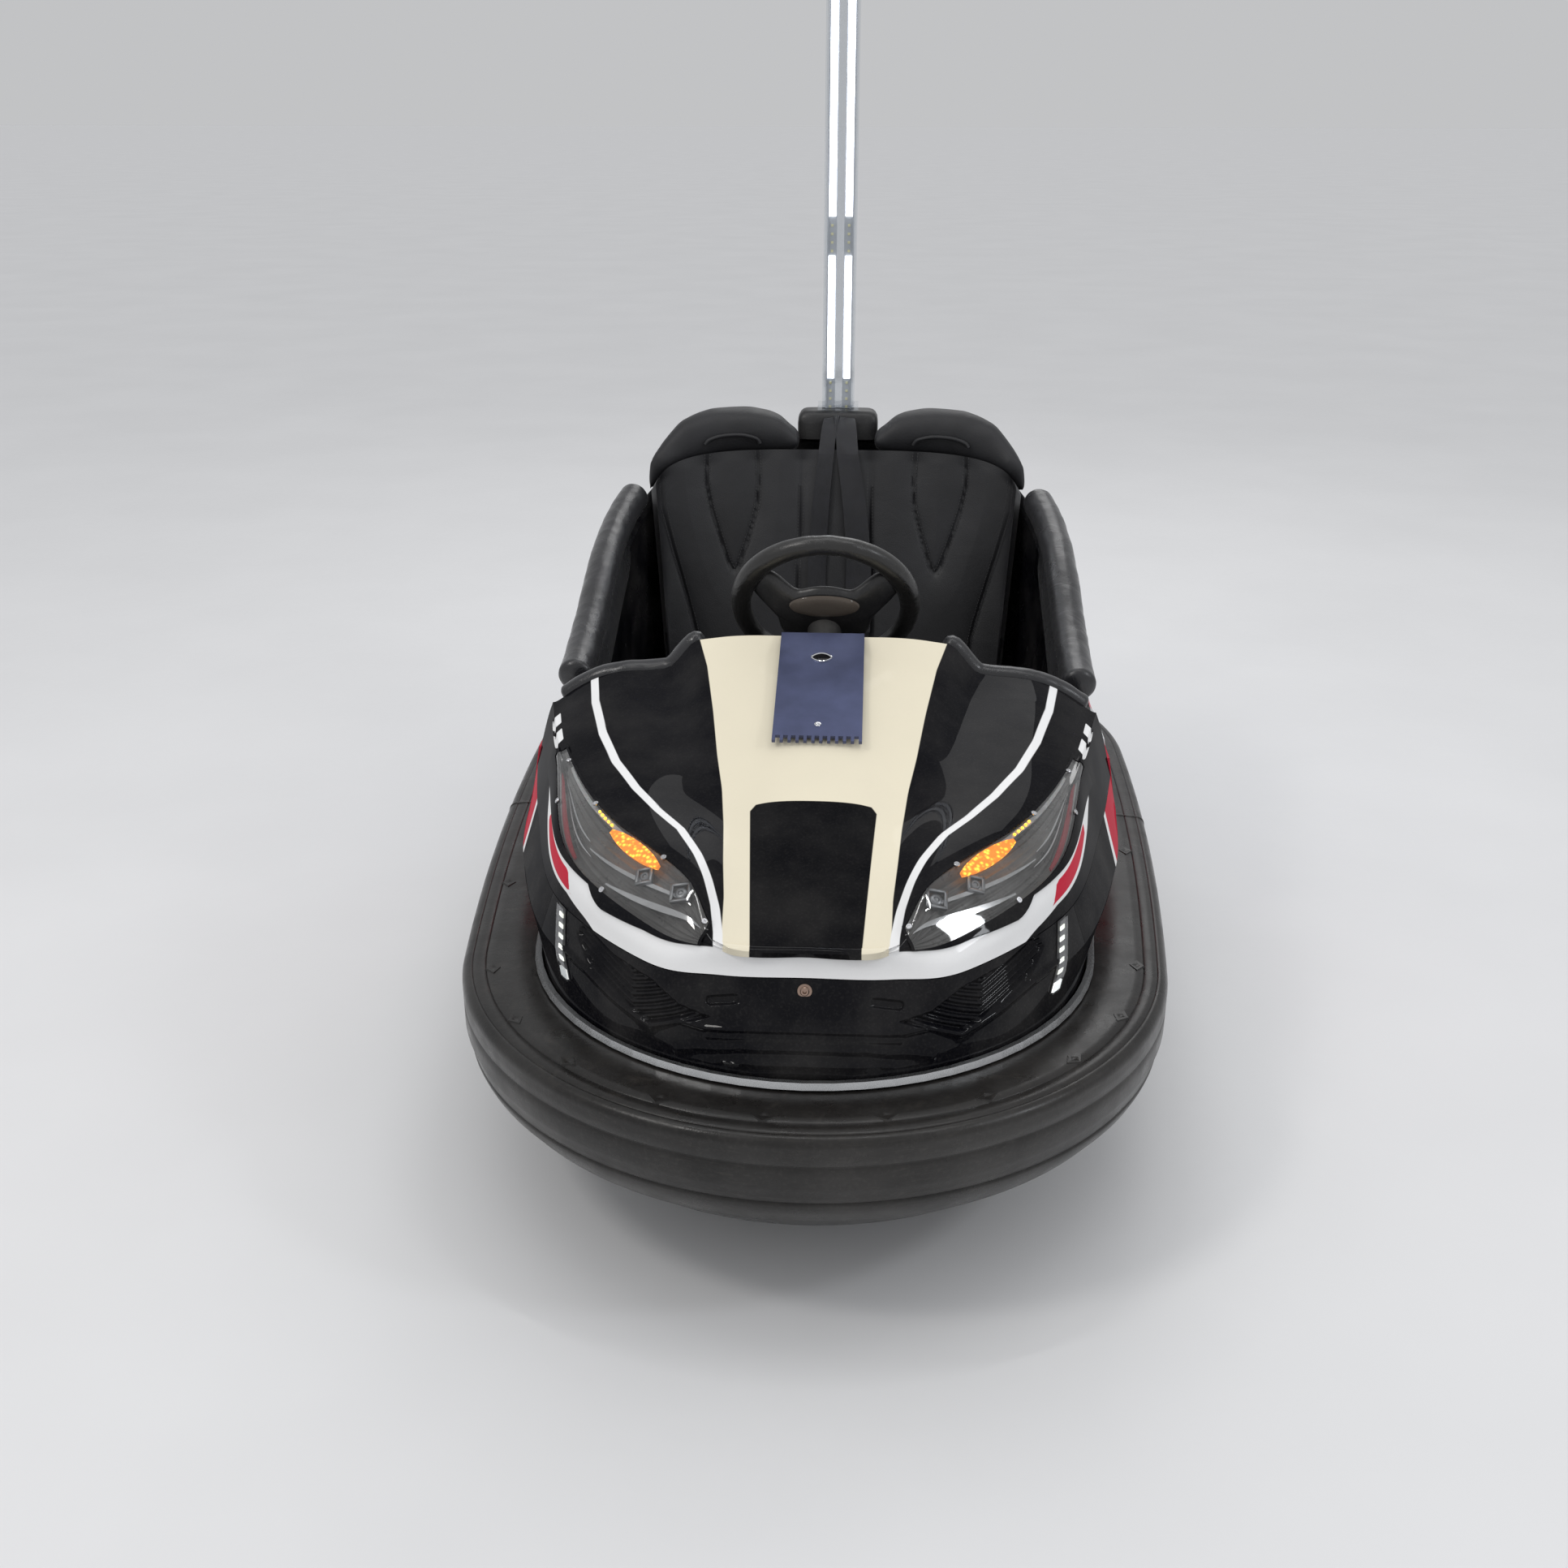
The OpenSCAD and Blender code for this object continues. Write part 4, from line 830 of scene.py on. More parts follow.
def make_front_shell():
    """Bonnet with its lamp pockets, and the distances that its paint is laid by."""
    bars = np.linspace(4.12, 4.66, 46)
    us = np.concatenate([np.linspace(-5, 5, 221), -bars, bars, [-4.1, -1.25, 1.25, 4.1]])
    levels = [np.linspace(1, 2, 15), [2.0, 2.03, 2.1], np.linspace(2.1, 2.9, 17), [2.97, 3.0],
              np.linspace(3, 6, 46)]
    us, vs = np.unique(np.round(us, 4)), np.unique(np.round(np.concatenate(levels), 4))
    grid, base = shell_grid(us, vs)
    values = livery_values(base, us, vs)
    obj = panel("bonnet_shell", grid, grid - SHELL_T * normals_of(grid), values)
    fit(obj, "chassis", finish(livery), ["front_shell"], sharp=40)


# Stage

def light_world(scene):
    """Soft white surroundings for the light, paler grey ones where the camera or a shiny face sees them."""
    world = bpy.data.worlds.new("Studio")
    scene.world = world
    world.use_nodes = True
    nodes, links = world.node_tree.nodes, world.node_tree.links
    back = nodes["Background"]
    back.inputs["Color"].default_value = (0.97, 0.98, 1.0, 1)
    back.inputs["Strength"].default_value = 0.80
    pale = nodes.new("ShaderNodeBackground")
    pale.inputs["Color"].default_value = (0.54, 0.545, 0.555, 1)
    pale.inputs["Strength"].default_value = 1.0
    path = nodes.new("ShaderNodeLightPath")
    seen = path.outputs["Is Camera Ray"]
    for kind in ("Is Glossy Ray", "Is Transmission Ray"):
        either = nodes.new("ShaderNodeMath")
        either.operation = "MAXIMUM"
        links.new(seen, either.inputs[0])
        links.new(path.outputs[kind], either.inputs[1])
        seen = either.outputs[0]
    mixer = nodes.new("ShaderNodeMixShader")
    for socket, source in zip(mixer.inputs, (seen, back.outputs[0], pale.outputs[0])):
        links.new(source, socket)
    links.new(mixer.outputs[0], nodes["World Output"].inputs["Surface"])


def lay_floor():
    """Wide pale floor whose top is the ground."""
    floor = new_object("studio_floor", *block((300, 300, 0.02), (0, 0, -0.0101)))
    f = Finish("Studio_Floor")
    f.colour(f.blend(f.span(f.grain(1.5, 3.0), 0.3, 0.7), (0.70, 0.70, 0.705), (0.73, 0.73, 0.735)))
    f.rough(f.span(f.grain(40, 3.0), 0.3, 0.7, 0.5, 0.62))
    floor.data.materials.append(f.done())


def hang_lamp(scene, name, at, aim, size, power, tone):
    """Soft lamp with an oblong face, turned to its aim."""
    light = bpy.data.lights.new(name, "AREA")
    light.shape = "RECTANGLE"
    light.size, light.size_y = size
    light.energy, light.color = power, tone
    obj = bpy.data.objects.new(name, light)
    scene.collection.objects.link(obj)
    obj.location = at
    obj.rotation_euler = (Vector(aim) - Vector(at)).to_track_quat("-Z", "Y").to_euler()


def place_camera(scene):
    """Camera at the place of the photo's, with its roll."""
    camera = bpy.data.cameras.new("Photo_Camera")
    camera.sensor_fit, camera.sensor_width, camera.lens = "HORIZONTAL", CAMERA_FRAME, CAMERA_LENS
    view = bpy.data.objects.new("Photo_Camera", camera)
    scene.collection.objects.link(view)
    view.location = CAMERA_AT
    turn = Vector(CAMERA_AIM).normalized().to_track_quat("-Z", "Y").to_matrix()
    view.rotation_euler = (turn @ Matrix.Rotation(math.radians(CAMERA_ROLL), 3, "Z")).to_euler()
    scene.camera = view


def make_stage():
    """World, floor, lamps and camera."""
    scene = bpy.context.scene
    scene.view_settings.view_transform = "Standard"
    light_world(scene)
    lay_floor()
    for lamp in LAMPS:
        hang_lamp(scene, *lamp)
    place_camera(scene)


# Bumper, flanks and dash

def ring_mark(station):
    """Moulded mark on top of the ring: an eased square standing on its corner."""
    cx, cy, r, way = station
    c, n = math.cos(math.radians(way)), math.sin(math.radians(way))
    inset, top = 0.046, 0.3262
    at = Vector((cx + (r - inset) * c, cy + (r - inset) * n, top))
    corners = [(0.013, 0), (0, 0.019), (-0.013, 0), (0, -0.019)]
    pts = []
    for z, k in ((-0.002, 1.0), (0.0012, 0.8), (0.0012, 0.45), (0.0002, 0.3)):
        pts += [at + Vector((c * (k * p) - n * (k * q), n * (k * p) + c * (k * q), z)) for p, q in corners]
    return pts, grid_faces(4, 4, wrap_v=True) + [[12, 13, 14, 15]]


def ring_joint(side):
    """Low welt over the ring where its lengths of rubber meet."""
    turn, ahead = 180 if side < 0 else 0, 0.05
    near = []
    for y in (-0.005, -0.0035, 0.0035, 0.005):
        back = math.degrees(math.asin((TAIL_CY - ahead - y) / FLANK_R))
        near.append((side * FLANK_CX, TAIL_CY, FLANK_R, turn - side * back))
    band = ring_points(np.array(near), bumper_profile())
    way = band - band.mean(1, keepdims=True)
    rise = np.array([0, 0.0012, 0.0012, 0])[:, None, None]
    return loft("joint", band + way / np.linalg.norm(way, axis=-1, keepdims=True) * rise)


def make_bumper():
    """Rubber ring with its marks and welts, and the finishes of its strip and rim."""
    obj = loft("bumper_ring", ring_points(ring_stations(), bumper_profile()), closed=True)
    places = ring_stations(90, 20, 60)
    marks = [ring_mark(places[int(len(places) * a / 360)]) for a in range(9, 360, 18)]
    merge(obj, [ring_joint(-1), ring_joint(1), joined("marks", marks)])
    fit(obj, "chassis", finish(bumper_rubber), ["bumper_rubber"], sharp=50)
    dress("trim_strip",
          finish(metal, "Bright_Trim", (0.72, 0.73, 0.74), 0.22, 0.36, (30.0, 30.0, 2.0), 0.15))
    dress("bumper_rim", finish(coated_steel, "Rim_Steel", (0.035, 0.036, 0.038), 0.35))


def merge(obj, others):
    """Joins meshes into the first one."""
    bm = bmesh.new()
    bm.from_mesh(obj.data)
    for other in others:
        bm.from_mesh(other.data)
        bpy.data.objects.remove(other)
    bm.to_mesh(obj.data)
    bm.free()


def make_flanks():
    """Painted skirts between the bonnet and the ring."""
    start, thick = 3.053, 0.006
    us = np.linspace(start, 5, 97)
    for side in (-1, 1):
        name = side_name(side)
        grid = low_rows(us if side > 0 else -us[::-1], np.linspace(0, 5, 61))
        n = normals_of(grid)
        flank = panel("flank_" + name, grid, grid - n * thick)
        fit(flank, "chassis", finish(flank_paint), ["skirt_" + name], sharp=50)


def make_dash_plate():
    """Thin plate behind the bonnet's rear edge, its top following that edge."""
    half_w, low_z, drop, thick = 0.426, 0.50, 0.012, 0.005
    edge = skin([5], np.linspace(2.9, 6, 60))[0][::-1]
    xs = np.linspace(-half_w, half_w, 86)
    top = np.interp(np.abs(xs), edge[:, 0], edge[:, 2]) - drop
    rises = np.linspace(0, 1, 7)
    plate = np.stack([[(x, DASH_Y, mix(low_z, z, a)) for a in rises] for x, z in zip(xs, top)])
    dash = joined("dash_plate", [panel_parts(plate, plate - [0, thick, 0])])
    fit(dash, "chassis", finish(plastic, "Dash_Plastic", (0.02, 0.02, 0.022)),
        ["dash_panel"])
    dress("floor_pan", finish(coated_steel, "Floor_Steel", (0.05, 0.05, 0.052), 0.25))


# Lamps

def mirrored(points, faces, side):
    """Points and faces drawn for the right, turned over for the left."""
    points = np.asarray(points, float).reshape(-1, 3)
    return (points * [-1, 1, 1], [f[::-1] for f in faces]) if side < 0 else (points, faces)


def skin_strip(us, low, high, lift, thick, rows=5):
    """Points and faces of a thin strip on the bonnet's right half, from levels low to high at stations us."""
    share = np.linspace(0, 1, rows)
    vs = np.asarray(low)[:, None] * (1 - share) + np.asarray(high)[:, None] * share
    us = np.asarray(us)[:, None] + 0 * vs
    return panel_parts(along_skin(us, vs, lift + thick), along_skin(us, vs, lift))


def skin_frame(u, v, lift):
    """Matrix at a place on the bonnet, Z out of the surface and X across the car."""
    at = along_skin(np.array([u]), np.array([v]), lift)[0]
    n = Vector(along_skin(np.array([u]), np.array([v]), lift + 0.01)[0] - at).normalized()
    x = Vector((1, 0, 0)) - n * n.x
    x.normalize()
    return Matrix.Translation(at) @ Matrix((x, n.cross(x), n)).transposed().to_4x4()


def round_part(radius, height, matrix, count=16, ease=0.25):
    """Points and faces of a small turned disc with an eased edge."""
    rows = [(radius, 0), (radius, height * (1 - ease)), (radius * (1 - ease * 0.6), height)]
    rows += [(radius * 0.45, height), (radius * 0.32, height * 0.55), (0.0001, height * 0.5)]
    a = np.linspace(0, 2 * math.pi, count, endpoint=False)
    pts = [matrix @ Vector((r * math.cos(t), r * math.sin(t), z)) for r, z in rows for t in a]
    return np.array(pts), grid_faces(len(rows), count, wrap_v=True) + [list(range(count - 1, -1, -1))]


def add_parts(name, parts, side, look):
    """Several small parts of one side as one piece."""
    obj = joined(name, [mirrored(p, f, side) for p, f in parts])
    return fit(obj, "chassis", look, sharp=40)


# Fittings of the right lamp: first and last station, level at each, half width in levels, lift, thickness
LAMP_BARS = [
    (1.40, 2.58, 2.74, 2.19, 0.050, -0.018, 0.014),
    (1.78, 2.90, 2.78, 2.42, 0.030, -0.021, 0.011),
    (2.95, 3.75, 2.50, 2.62, 0.022, -0.019, 0.008),
    (2.85, 3.65, 2.34, 2.44, 0.018, -0.019, 0.008),
]
# Projectors and screws of the right lamp: station and level, and a projector's half width
LAMP_FRAMES = [(1.98, 2.76, 0.0145), (2.36, 2.62, 0.0125)]
LAMP_SCREWS = [(2.26, 2.94), (1.38, 2.86), (2.55, 2.08), (3.52, 2.10), (3.84, 2.90), (3.1, 2.93)]


def make_headlamp(side):
    """Clear lens over a ribbed bowl in the bonnet's pocket."""
    name = side_name(side)
    u = np.linspace(LAMP_U[0], LAMP_U[1], 73)
    grid = skin(side * u if side > 0 else (side * u)[::-1], np.linspace(2, 3, 17))
    lens = sheet("lamp_lens_" + name, grid, 0.0025, 0.0003)
    fit(lens, "chassis", finish(clear, "Lamp_Clear", (0.90, 0.90, 0.895), 0.02),
        ["headlamp_lens_" + name])
    inner = np.linspace(LAMP_U[0] + 0.03, LAMP_U[1] - 0.03, 121)
    vs = np.linspace(2.03, 2.97, 61)
    floor, base = shell_grid(side * inner if side > 0 else (side * inner)[::-1], vs)
    n = normals_of(base)
    ends = np.clip(np.minimum(vs - 2.1, 2.9 - vs) / 0.1, 0, 1)
    stairs = np.maximum(0, np.sin(vs * 2 * math.pi / 0.118)) * 0.0016 * ends
    bowl = panel("lamp_bowl_" + name, floor + n * (0.0016 + stairs[None, :, None]), floor + n * 0.0003)
    fit(bowl, "chassis", finish(lamp_housing), ["headlamp_unit_" + name], sharp=50)
    make_lamp_border(name, side, u)
    make_lamp_inside(name, side)


def make_lamp_border(name, side, u):
    """Black edging round the lens, with its screws."""
    low, high = np.minimum(band_edges(u)[0] + 0.02, 2.0), np.full(73, 3.0)
    edge = [skin_strip(u, low, np.full(73, 2.055), 0.0029, 0.0009, 5),
            skin_strip(u, high - 0.05, high, 0.0029, 0.0009, 3)]
    for end, way in ((u[0], 1), (u[-1], -1)):
        pair = np.array([end, end + way * 0.05])
        edge.append(skin_strip(pair, [2.0, 2.0], [3.0, 3.0], 0.0029, 0.0009, 9))
    add_parts("lamp_border_" + name, edge, side, finish(gloss_black))
    screws = [round_part(0.0042, 0.0022, skin_frame(a, b, 0.0036)) for a, b in LAMP_SCREWS]
    add_parts("lamp_screws_" + name, screws, side, finish(screw_steel))


def make_lamp_inside(name, side):
    """Reflectors, projectors, turn lamp, light guide and fin behind the lens."""
    bars = []
    for u0, u1, v0, v1, half, lift, thick in LAMP_BARS:
        t = np.linspace(0, 1, 25)
        width = half * np.sqrt(np.clip(np.sin(np.pi * np.clip(t, 0.03, 0.97)), 0, 1))
        mid = mix(v0, v1, t) - 0.05 * np.sin(np.pi * t)
        bars.append(skin_strip(mix(u0, u1, t), mid - width, mid + width, lift, thick, 4))
    add_parts("lamp_reflectors_" + name, bars, side, finish(chrome))
    frames = []
    for fu, fv, size in LAMP_FRAMES:
        m = skin_frame(fu, fv, -0.013)
        for k in range(4):
            turn = m @ Matrix.Rotation(k * math.pi / 2, 4, "Z")
            frames.append(block((size * 2, 0.0045, 0.007), (0, size - 0.002, 0.003), turn))
        frames.append(round_part(size * 0.62, 0.004, m, 24, 0.4))
    add_parts("lamp_projectors_" + name, frames, side,
              finish(metal, "Projector_Grey", (0.32, 0.33, 0.35), 0.28, 0.4))
    t = np.linspace(0, 1, 21)
    bulb = 0.10 * np.sqrt(np.clip(np.sin(np.pi * np.clip(t, 0.02, 0.98)), 0, 1))
    amber = [skin_strip(mix(2.28, 2.80, t), 2.82 - bulb, 2.83 + bulb * 1.1, -0.0075, 0.006, 6)]
    add_parts("lamp_amber_" + name, amber, side, finish(amber_lamp))
    dots = [round_part(0.0020, 0.0016, skin_frame(2.84 + 0.05 * k, 2.90 + 0.004 * k, -0.0035), 10)
            for k in range(5)]
    add_parts("lamp_dots_" + name, dots, side,
              finish(glow, "Amber_Dots", (1.0, 0.45, 0.02), 6.0))
    guide_u = np.linspace(3.80, 2.66, 30)
    guide_v = np.interp(guide_u, [2.66, 2.9, 3.2, 3.7, 3.8], [2.90, 2.92, 2.90, 2.90, 2.91])
    guide = [skin_strip(guide_u[::-1], (guide_v - 0.035)[::-1], (guide_v + 0.03)[::-1], -0.0085, 0.004, 4)]
    add_parts("lamp_guide_" + name, guide, side, finish(light_guide))
    t = np.linspace(0, 1, 25)
    fin = [skin_strip(mix(2.95, 3.92, t), 2.06 + 0.02 * t,
                      2.10 + 0.13 * np.sin(np.pi * np.clip(t * 0.9 + 0.05, 0, 1)), -0.0075, 0.003, 5)]
    add_parts("lamp_red_fin_" + name, fin, side, finish(lamp_red))


def lamp_red():
    """Red fin in the lamp."""
    return gloss("Lamp_Red", (0.30, 0.012, 0.025))


def lamp_housing():
    """Dark moulded housing behind the lens, with fine cooling lines."""
    f = Finish("Lamp_Housing", Specular_IOR_Level=0.6)
    f.colour(f.blend(f.span(f.grain(20.0), 0.3, 0.7), (0.075, 0.073, 0.072), (0.145, 0.142, 0.14)))
    f.rough(f.span(f.grain(30, 4.0), 0.3, 0.7, 0.22, 0.4))
    f.bump(f.waves(42, "Z"), 0.0006, 0.3)
    return f.done()


def chrome():
    """Bright reflector metal."""
    return metal("Lamp_Chrome", (0.80, 0.81, 0.83), 0.06, 0.16, None, 0.08, 0.1)


def screw_steel():
    """Plated steel of the screws."""
    return metal("Screw_Steel", (0.62, 0.62, 0.64), 0.2, 0.34, None, 0.2, 0.2)


def amber_lamp():
    """Lit turn lamp: a row of amber cells, hot in their middles."""
    f = Finish("Amber_Lamp", Roughness=0.2)
    cell = f.span(f.cells(150), 0.0, 0.55, 1.0, 0.15)
    f.colour(f.blend(cell, (0.55, 0.12, 0.0), (1.0, 0.45, 0.02)))
    f.put(f.shader.inputs["Emission Color"], f.blend(cell, (1.0, 0.22, 0.0), (1.0, 0.55, 0.05)))
    f.put(f.shader.inputs["Emission Strength"], f.sum("MULTIPLY_ADD", cell, 3.2, 0.5))
    return f.done()


def light_guide():
    """Milky light guide, unlit."""
    f = Finish("Light_Guide", Subsurface_Weight=0.2, Subsurface_Scale=0.01)
    f.colour(f.blend(f.span(f.grain(40.0), 0.3, 0.7), (0.42, 0.43, 0.44), (0.58, 0.59, 0.60)))
    f.rough(f.span(f.grain(60, 3.0), 0.3, 0.7, 0.2, 0.34))
    f.bump(f.waves(90, "Y"), 0.0006, 0.4)
    return f.done()


# Lower nose, day lamps and token panel

def low_rows(us, qs):
    """Grid of the strip under the shell's lip: qs from 0 at the rubber to 5 at the lip."""
    us = np.asarray(us, float)
    belt, top = skin(us, [0.0])[:, 0], skin(us, [1.0])[:, 0] - [0, 0, 0.0015]
    y = np.maximum(NOSE_CY - NOSE_R + RUBBER_T + 0.00001, belt[:, 1] - 0.020 * (1 - np.abs(us) / 5))
    foot = np.stack([np.where(us < 0, -1, 1) * ring_x(y, RUBBER_T + 0.002), y, np.full(len(us), SILL_Z)], -1)
    rise = foot + [0, 0, 0.016]
    rows = np.stack([foot, rise, (rise + belt) / 2, belt, (belt + top) / 2, top], 1)
    q = np.clip(np.asarray(qs, float), 0, 5)
    j = np.minimum(q.astype(int), 4)
    return rows[:, j] + (rows[:, j + 1] - rows[:, j]) * (q - j)[None, :, None]


def within(points, corners):
    """Signed distance to a closed outline, above nothing inside it."""
    corners = np.asarray(corners, float)
    loop = np.concatenate([corners, corners[:1]])
    gap, _ = line_distance(points, loop)
    inside = np.zeros(points.shape[:-1], bool)
    for a, b in zip(loop[:-1], loop[1:]):
        crosses = (a[1] > points[..., 1]) != (b[1] > points[..., 1])
        at = a[0] + (points[..., 1] - a[1]) / (b[1] - a[1] + 1e-12) * (b[0] - a[0])
        inside ^= crosses & (points[..., 0] < at)
    return np.where(inside, gap, -gap)


# Outlines on the lower nose, in metres across and over the floor
INTAKE = [(0.118, 0.402), (0.165, 0.412), (0.205, 0.436), (0.262, 0.444), (0.312, 0.462), (0.322, 0.440),
          (0.300, 0.404), (0.262, 0.390), (0.205, 0.374), (0.172, 0.386)]
CREASES = [([(0, 0.3925), (0.075, 0.3925), (0.130, 0.388), (0.165, 0.392), (0.205, 0.372), (0.262, 0.386),
             (0.304, 0.400), (0.345, 0.408)], 0.0035),
           ([(0, 0.3700), (0.085, 0.369), (0.140, 0.361), (0.170, 0.352)], 0.0030),
           ([(0, 0.3835), (0.08, 0.383), (0.125, 0.378)], 0.0015)]
BLADE = [(-0.150, 0.3435), (-0.08, 0.3555), (0, 0.3585), (0.08, 0.3550), (0.156, 0.3435), (0.08, 0.3445),
         (0, 0.3455), (-0.08, 0.3450)]


def nose_relief(grid):
    """Height of the lower nose's creases, blade, intakes, slots and plate."""
    x, z = grid[..., 0], grid[..., 2]
    half = np.stack([np.abs(x), z], -1)
    full = np.stack([x, z], -1)
    crease_w, blade_h, edge_w = 0.0042, 0.0035, 0.003
    slat_lean, slat_pitch, slat_h, pit_d = 0.42, 0.0100, 0.0021, 0.0045
    rise = np.zeros(x.shape)
    for line, height in CREASES:
        gap, _ = line_distance(half, np.array(line))
        rise += height * np.exp(-((gap / crease_w) ** 2))
    rise += blade_h * np.clip(within(full, BLADE) / edge_w, 0, 1)
    pit = np.clip(within(half, INTAKE) / 0.004, 0, 1)
    lean = half[..., 1] - slat_lean * np.abs(half[..., 0] - 0.235)
    rise += pit * (-pit_d + slat_h * np.sin(lean * 2 * math.pi / slat_pitch))
    slot_half, slot_d, slot_line = 0.0065, 0.005, [(0.092, 0.426), (0.124, 0.421)]
    slot = slot_half - line_distance(half, np.array(slot_line))[0]
    rise -= slot_d * np.clip(slot / edge_w, 0, 1)
    plate_half, plate_low, plate_h = 0.060, 0.4005, 0.0009
    plate = np.minimum(plate_half - half[..., 0], half[..., 1] - plate_low)
    rise += plate_h * np.clip(plate / 0.0012, 0, 1)
    rim = np.minimum(1.0, np.minimum(z - SILL_Z - 0.008, 1) / 0.006)
    return rise * np.clip(rim, 0, 1)


def make_lower_nose():
    """Lower nose cover with its relief, and the bolt in its middle."""
    half = np.concatenate([np.linspace(0, 1.0, 24, endpoint=False),
                           np.linspace(1.0, 2.7, 150, endpoint=False), np.linspace(2.7, 3.05, 14)])
    us = np.concatenate([-half[:0:-1], half])
    qs = np.concatenate([np.linspace(0, 2, 14, endpoint=False), np.linspace(2, 5, 78)])
    grid = low_rows(us, qs)
    n = normals_of(grid)
    out = grid + n * nose_relief(grid)[..., None]
    obj = panel("lower_nose_cover", out, grid - n * NOSE_T)
    fit(obj, "chassis", finish(gloss_black), ["lower_nose"], sharp=50)
    at = low_rows([0.0], [4.55])[0, 0] + [0, -0.0015, 0]
    face = Matrix.Translation(at) @ Matrix.Rotation(math.radians(78), 4, "X")
    parts = [round_part(0.0095, 0.002, face, 28, 0.2), round_part(0.0062, 0.0055, face, 24, 0.35)]
    fit(joined("nose_bolt", parts), "chassis",
        finish(metal, "Bolt_Bronze", (0.42, 0.30, 0.24), 0.25, 0.4))


def make_day_lamp(side):
    """Strip of lit chips between its base and a clear cover."""
    name = side_name(side)
    half_w = 0.045

    def slab(q0, q1, u0, u1, lift, thick, rows=9):
        """Curved plate on the nose between two heights and two sides."""
        qs = np.linspace(q0, q1, rows)
        mid = np.interp(qs, [2, 5], [2.66, 2.87])
        us = np.linspace(u0, u1, 5)
        grid = np.stack([[low_rows([m + half_w * (2 * k - 1)], [q])[0, 0] for q, m in zip(qs, mid)]
                         for k in us])
        n = normals_of(grid)
        return mirrored(*panel_parts(grid + n * (lift + thick), grid + n * lift), side)
    base = joined("day_strip_base_" + name, [slab(2, 5, 0, 1, 0.0003, 0.0012)])
    fit(base, "chassis", finish(plastic, "Day_Base", (0.03, 0.03, 0.032)),
        ["day_lamp_" + name])
    chips = joined("day_strip_chips_" + name,
                   [slab(q, q + 0.17, 0.25, 0.75, 0.0015, 0.0016, 3) for q in (2.75, 3.2, 3.65, 4.1, 4.55)])
    fit(chips, "chassis", finish(glow, "Day_Chips", (0.92, 0.93, 0.80), 1.2))
    end = joined("day_strip_end_" + name, [slab(2.04, 2.42, 0.1, 0.9, 0.0015, 0.0030, 4)])
    # The end glows brighter on the right (1.1) than on the left (0.35): the extra glow on the right is a
    # painted glint.
    fit(end, "chassis", finish(glow, "Day_End", (0.93, 0.95, 0.92), 1.1 if side > 0 else 0.35))
    cover = joined("day_strip_cover_" + name, [slab(2, 5, 0, 1, 0.0046, 0.0007)])
    fit(cover, "chassis", finish(clear, "Day_Clear", (0.86, 0.87, 0.88), 0.03))


def make_token_panel():
    """Finish of the token panel, its slot and its lock, and a flat black disc of painted shade in the slot's
    eye.
    """
    dress("coin_panel", finish(metal, "Token_Anodised", rgb("anodised"), 0.36, 0.46, None, 0.05, 0.15))
    rear, ahead = skin([5.0], [6.0])[0, 0], skin([0.0], [4.85])[0, 0]
    top = Vector((0, rear[1] - 0.004, rear[2] + 0.003))
    slope = math.atan2(top.z - ahead[2] - 0.005, top.y - ahead[1])
    m = Matrix.Translation(top) @ Matrix.Rotation(slope, 4, "X")
    t = np.linspace(0, 2 * math.pi, 40, endpoint=False)
    eye = np.stack([0.0175 * np.cos(t), 0.0125 * np.sin(t) * (1 - 0.3 * np.cos(t) ** 2)], -1)

    def rings(rows):
        """Mesh of ovals of the token slot's outline, one for each scale and height."""
        pts = [m @ Vector((p[0] * k, p[1] * k - 0.070, z)) for k, z in rows for p in eye]
        return np.array(pts), grid_faces(len(rows), 40, wrap_v=True)
    lock = round_part(0.0052, 0.0014, m @ Matrix.Translation((0, -0.246, 0.005)), 24)
    slot = joined("token_slot",
                  [rings([(1.0, 0.0050), (0.97, 0.0066), (0.88, 0.0070), (0.80, 0.0052)]), lock])
    fit(slot, "chassis", finish(chrome))
    # Flat black disc over the slot's eye: painted shade for the dark depth of the opening.
    shade_disc = joined("token_mouth", [rings([(0.84, 0.0056), (0.50, 0.0053), (0.05, 0.0052)])])
    fit(shade_disc, "chassis", finish(gloss_black))


def make_tail_lamps():
    """Finish of the tail lamps."""
    dress("tail_lamps", finish(tail_red))


def tail_red():
    """Ribbed red of the tail lamps."""
    return gloss("Tail_Red", (0.42, 0.008, 0.008), 150)


# Tub, pads and step plates

def tub_xy(s, half_w, reach, full):
    """Point of the tub's plan, s from -1 at the left front by 0 at the tail to 1, full for square corners."""
    t = 1 - abs(s)
    sign = 1 if s >= 0 else -1
    bend = CUSHION_Y + 0.09
    if t < 0.36:
        return np.array([sign * half_w, mix(DASH_Y + 0.0022, bend, t / 0.36)])
    a = math.radians(90 * (t - 0.36) / 0.64)
    return np.array([sign * half_w * max(0, math.cos(a)) ** (2 / full),
                     bend + (reach - bend) * math.sin(a) ** (2 / full)])


def rim_z(y):
    """Height of the tub's rim at y."""
    ahead, share = np.array(RIM_RISE).T
    return RIM_LOW + (RIM_HIGH - RIM_LOW) * float(np.interp(TAIL_Y - y, ahead, share))


def ring_xy(s, d):
    """Point at depth d inside the ring that goes with place s round the tub."""
    y = tub_xy(s, 1, 0.98 - d, 2)[1]
    return np.array([(1 if s >= 0 else -1) * float(ring_x(y, d)), y])


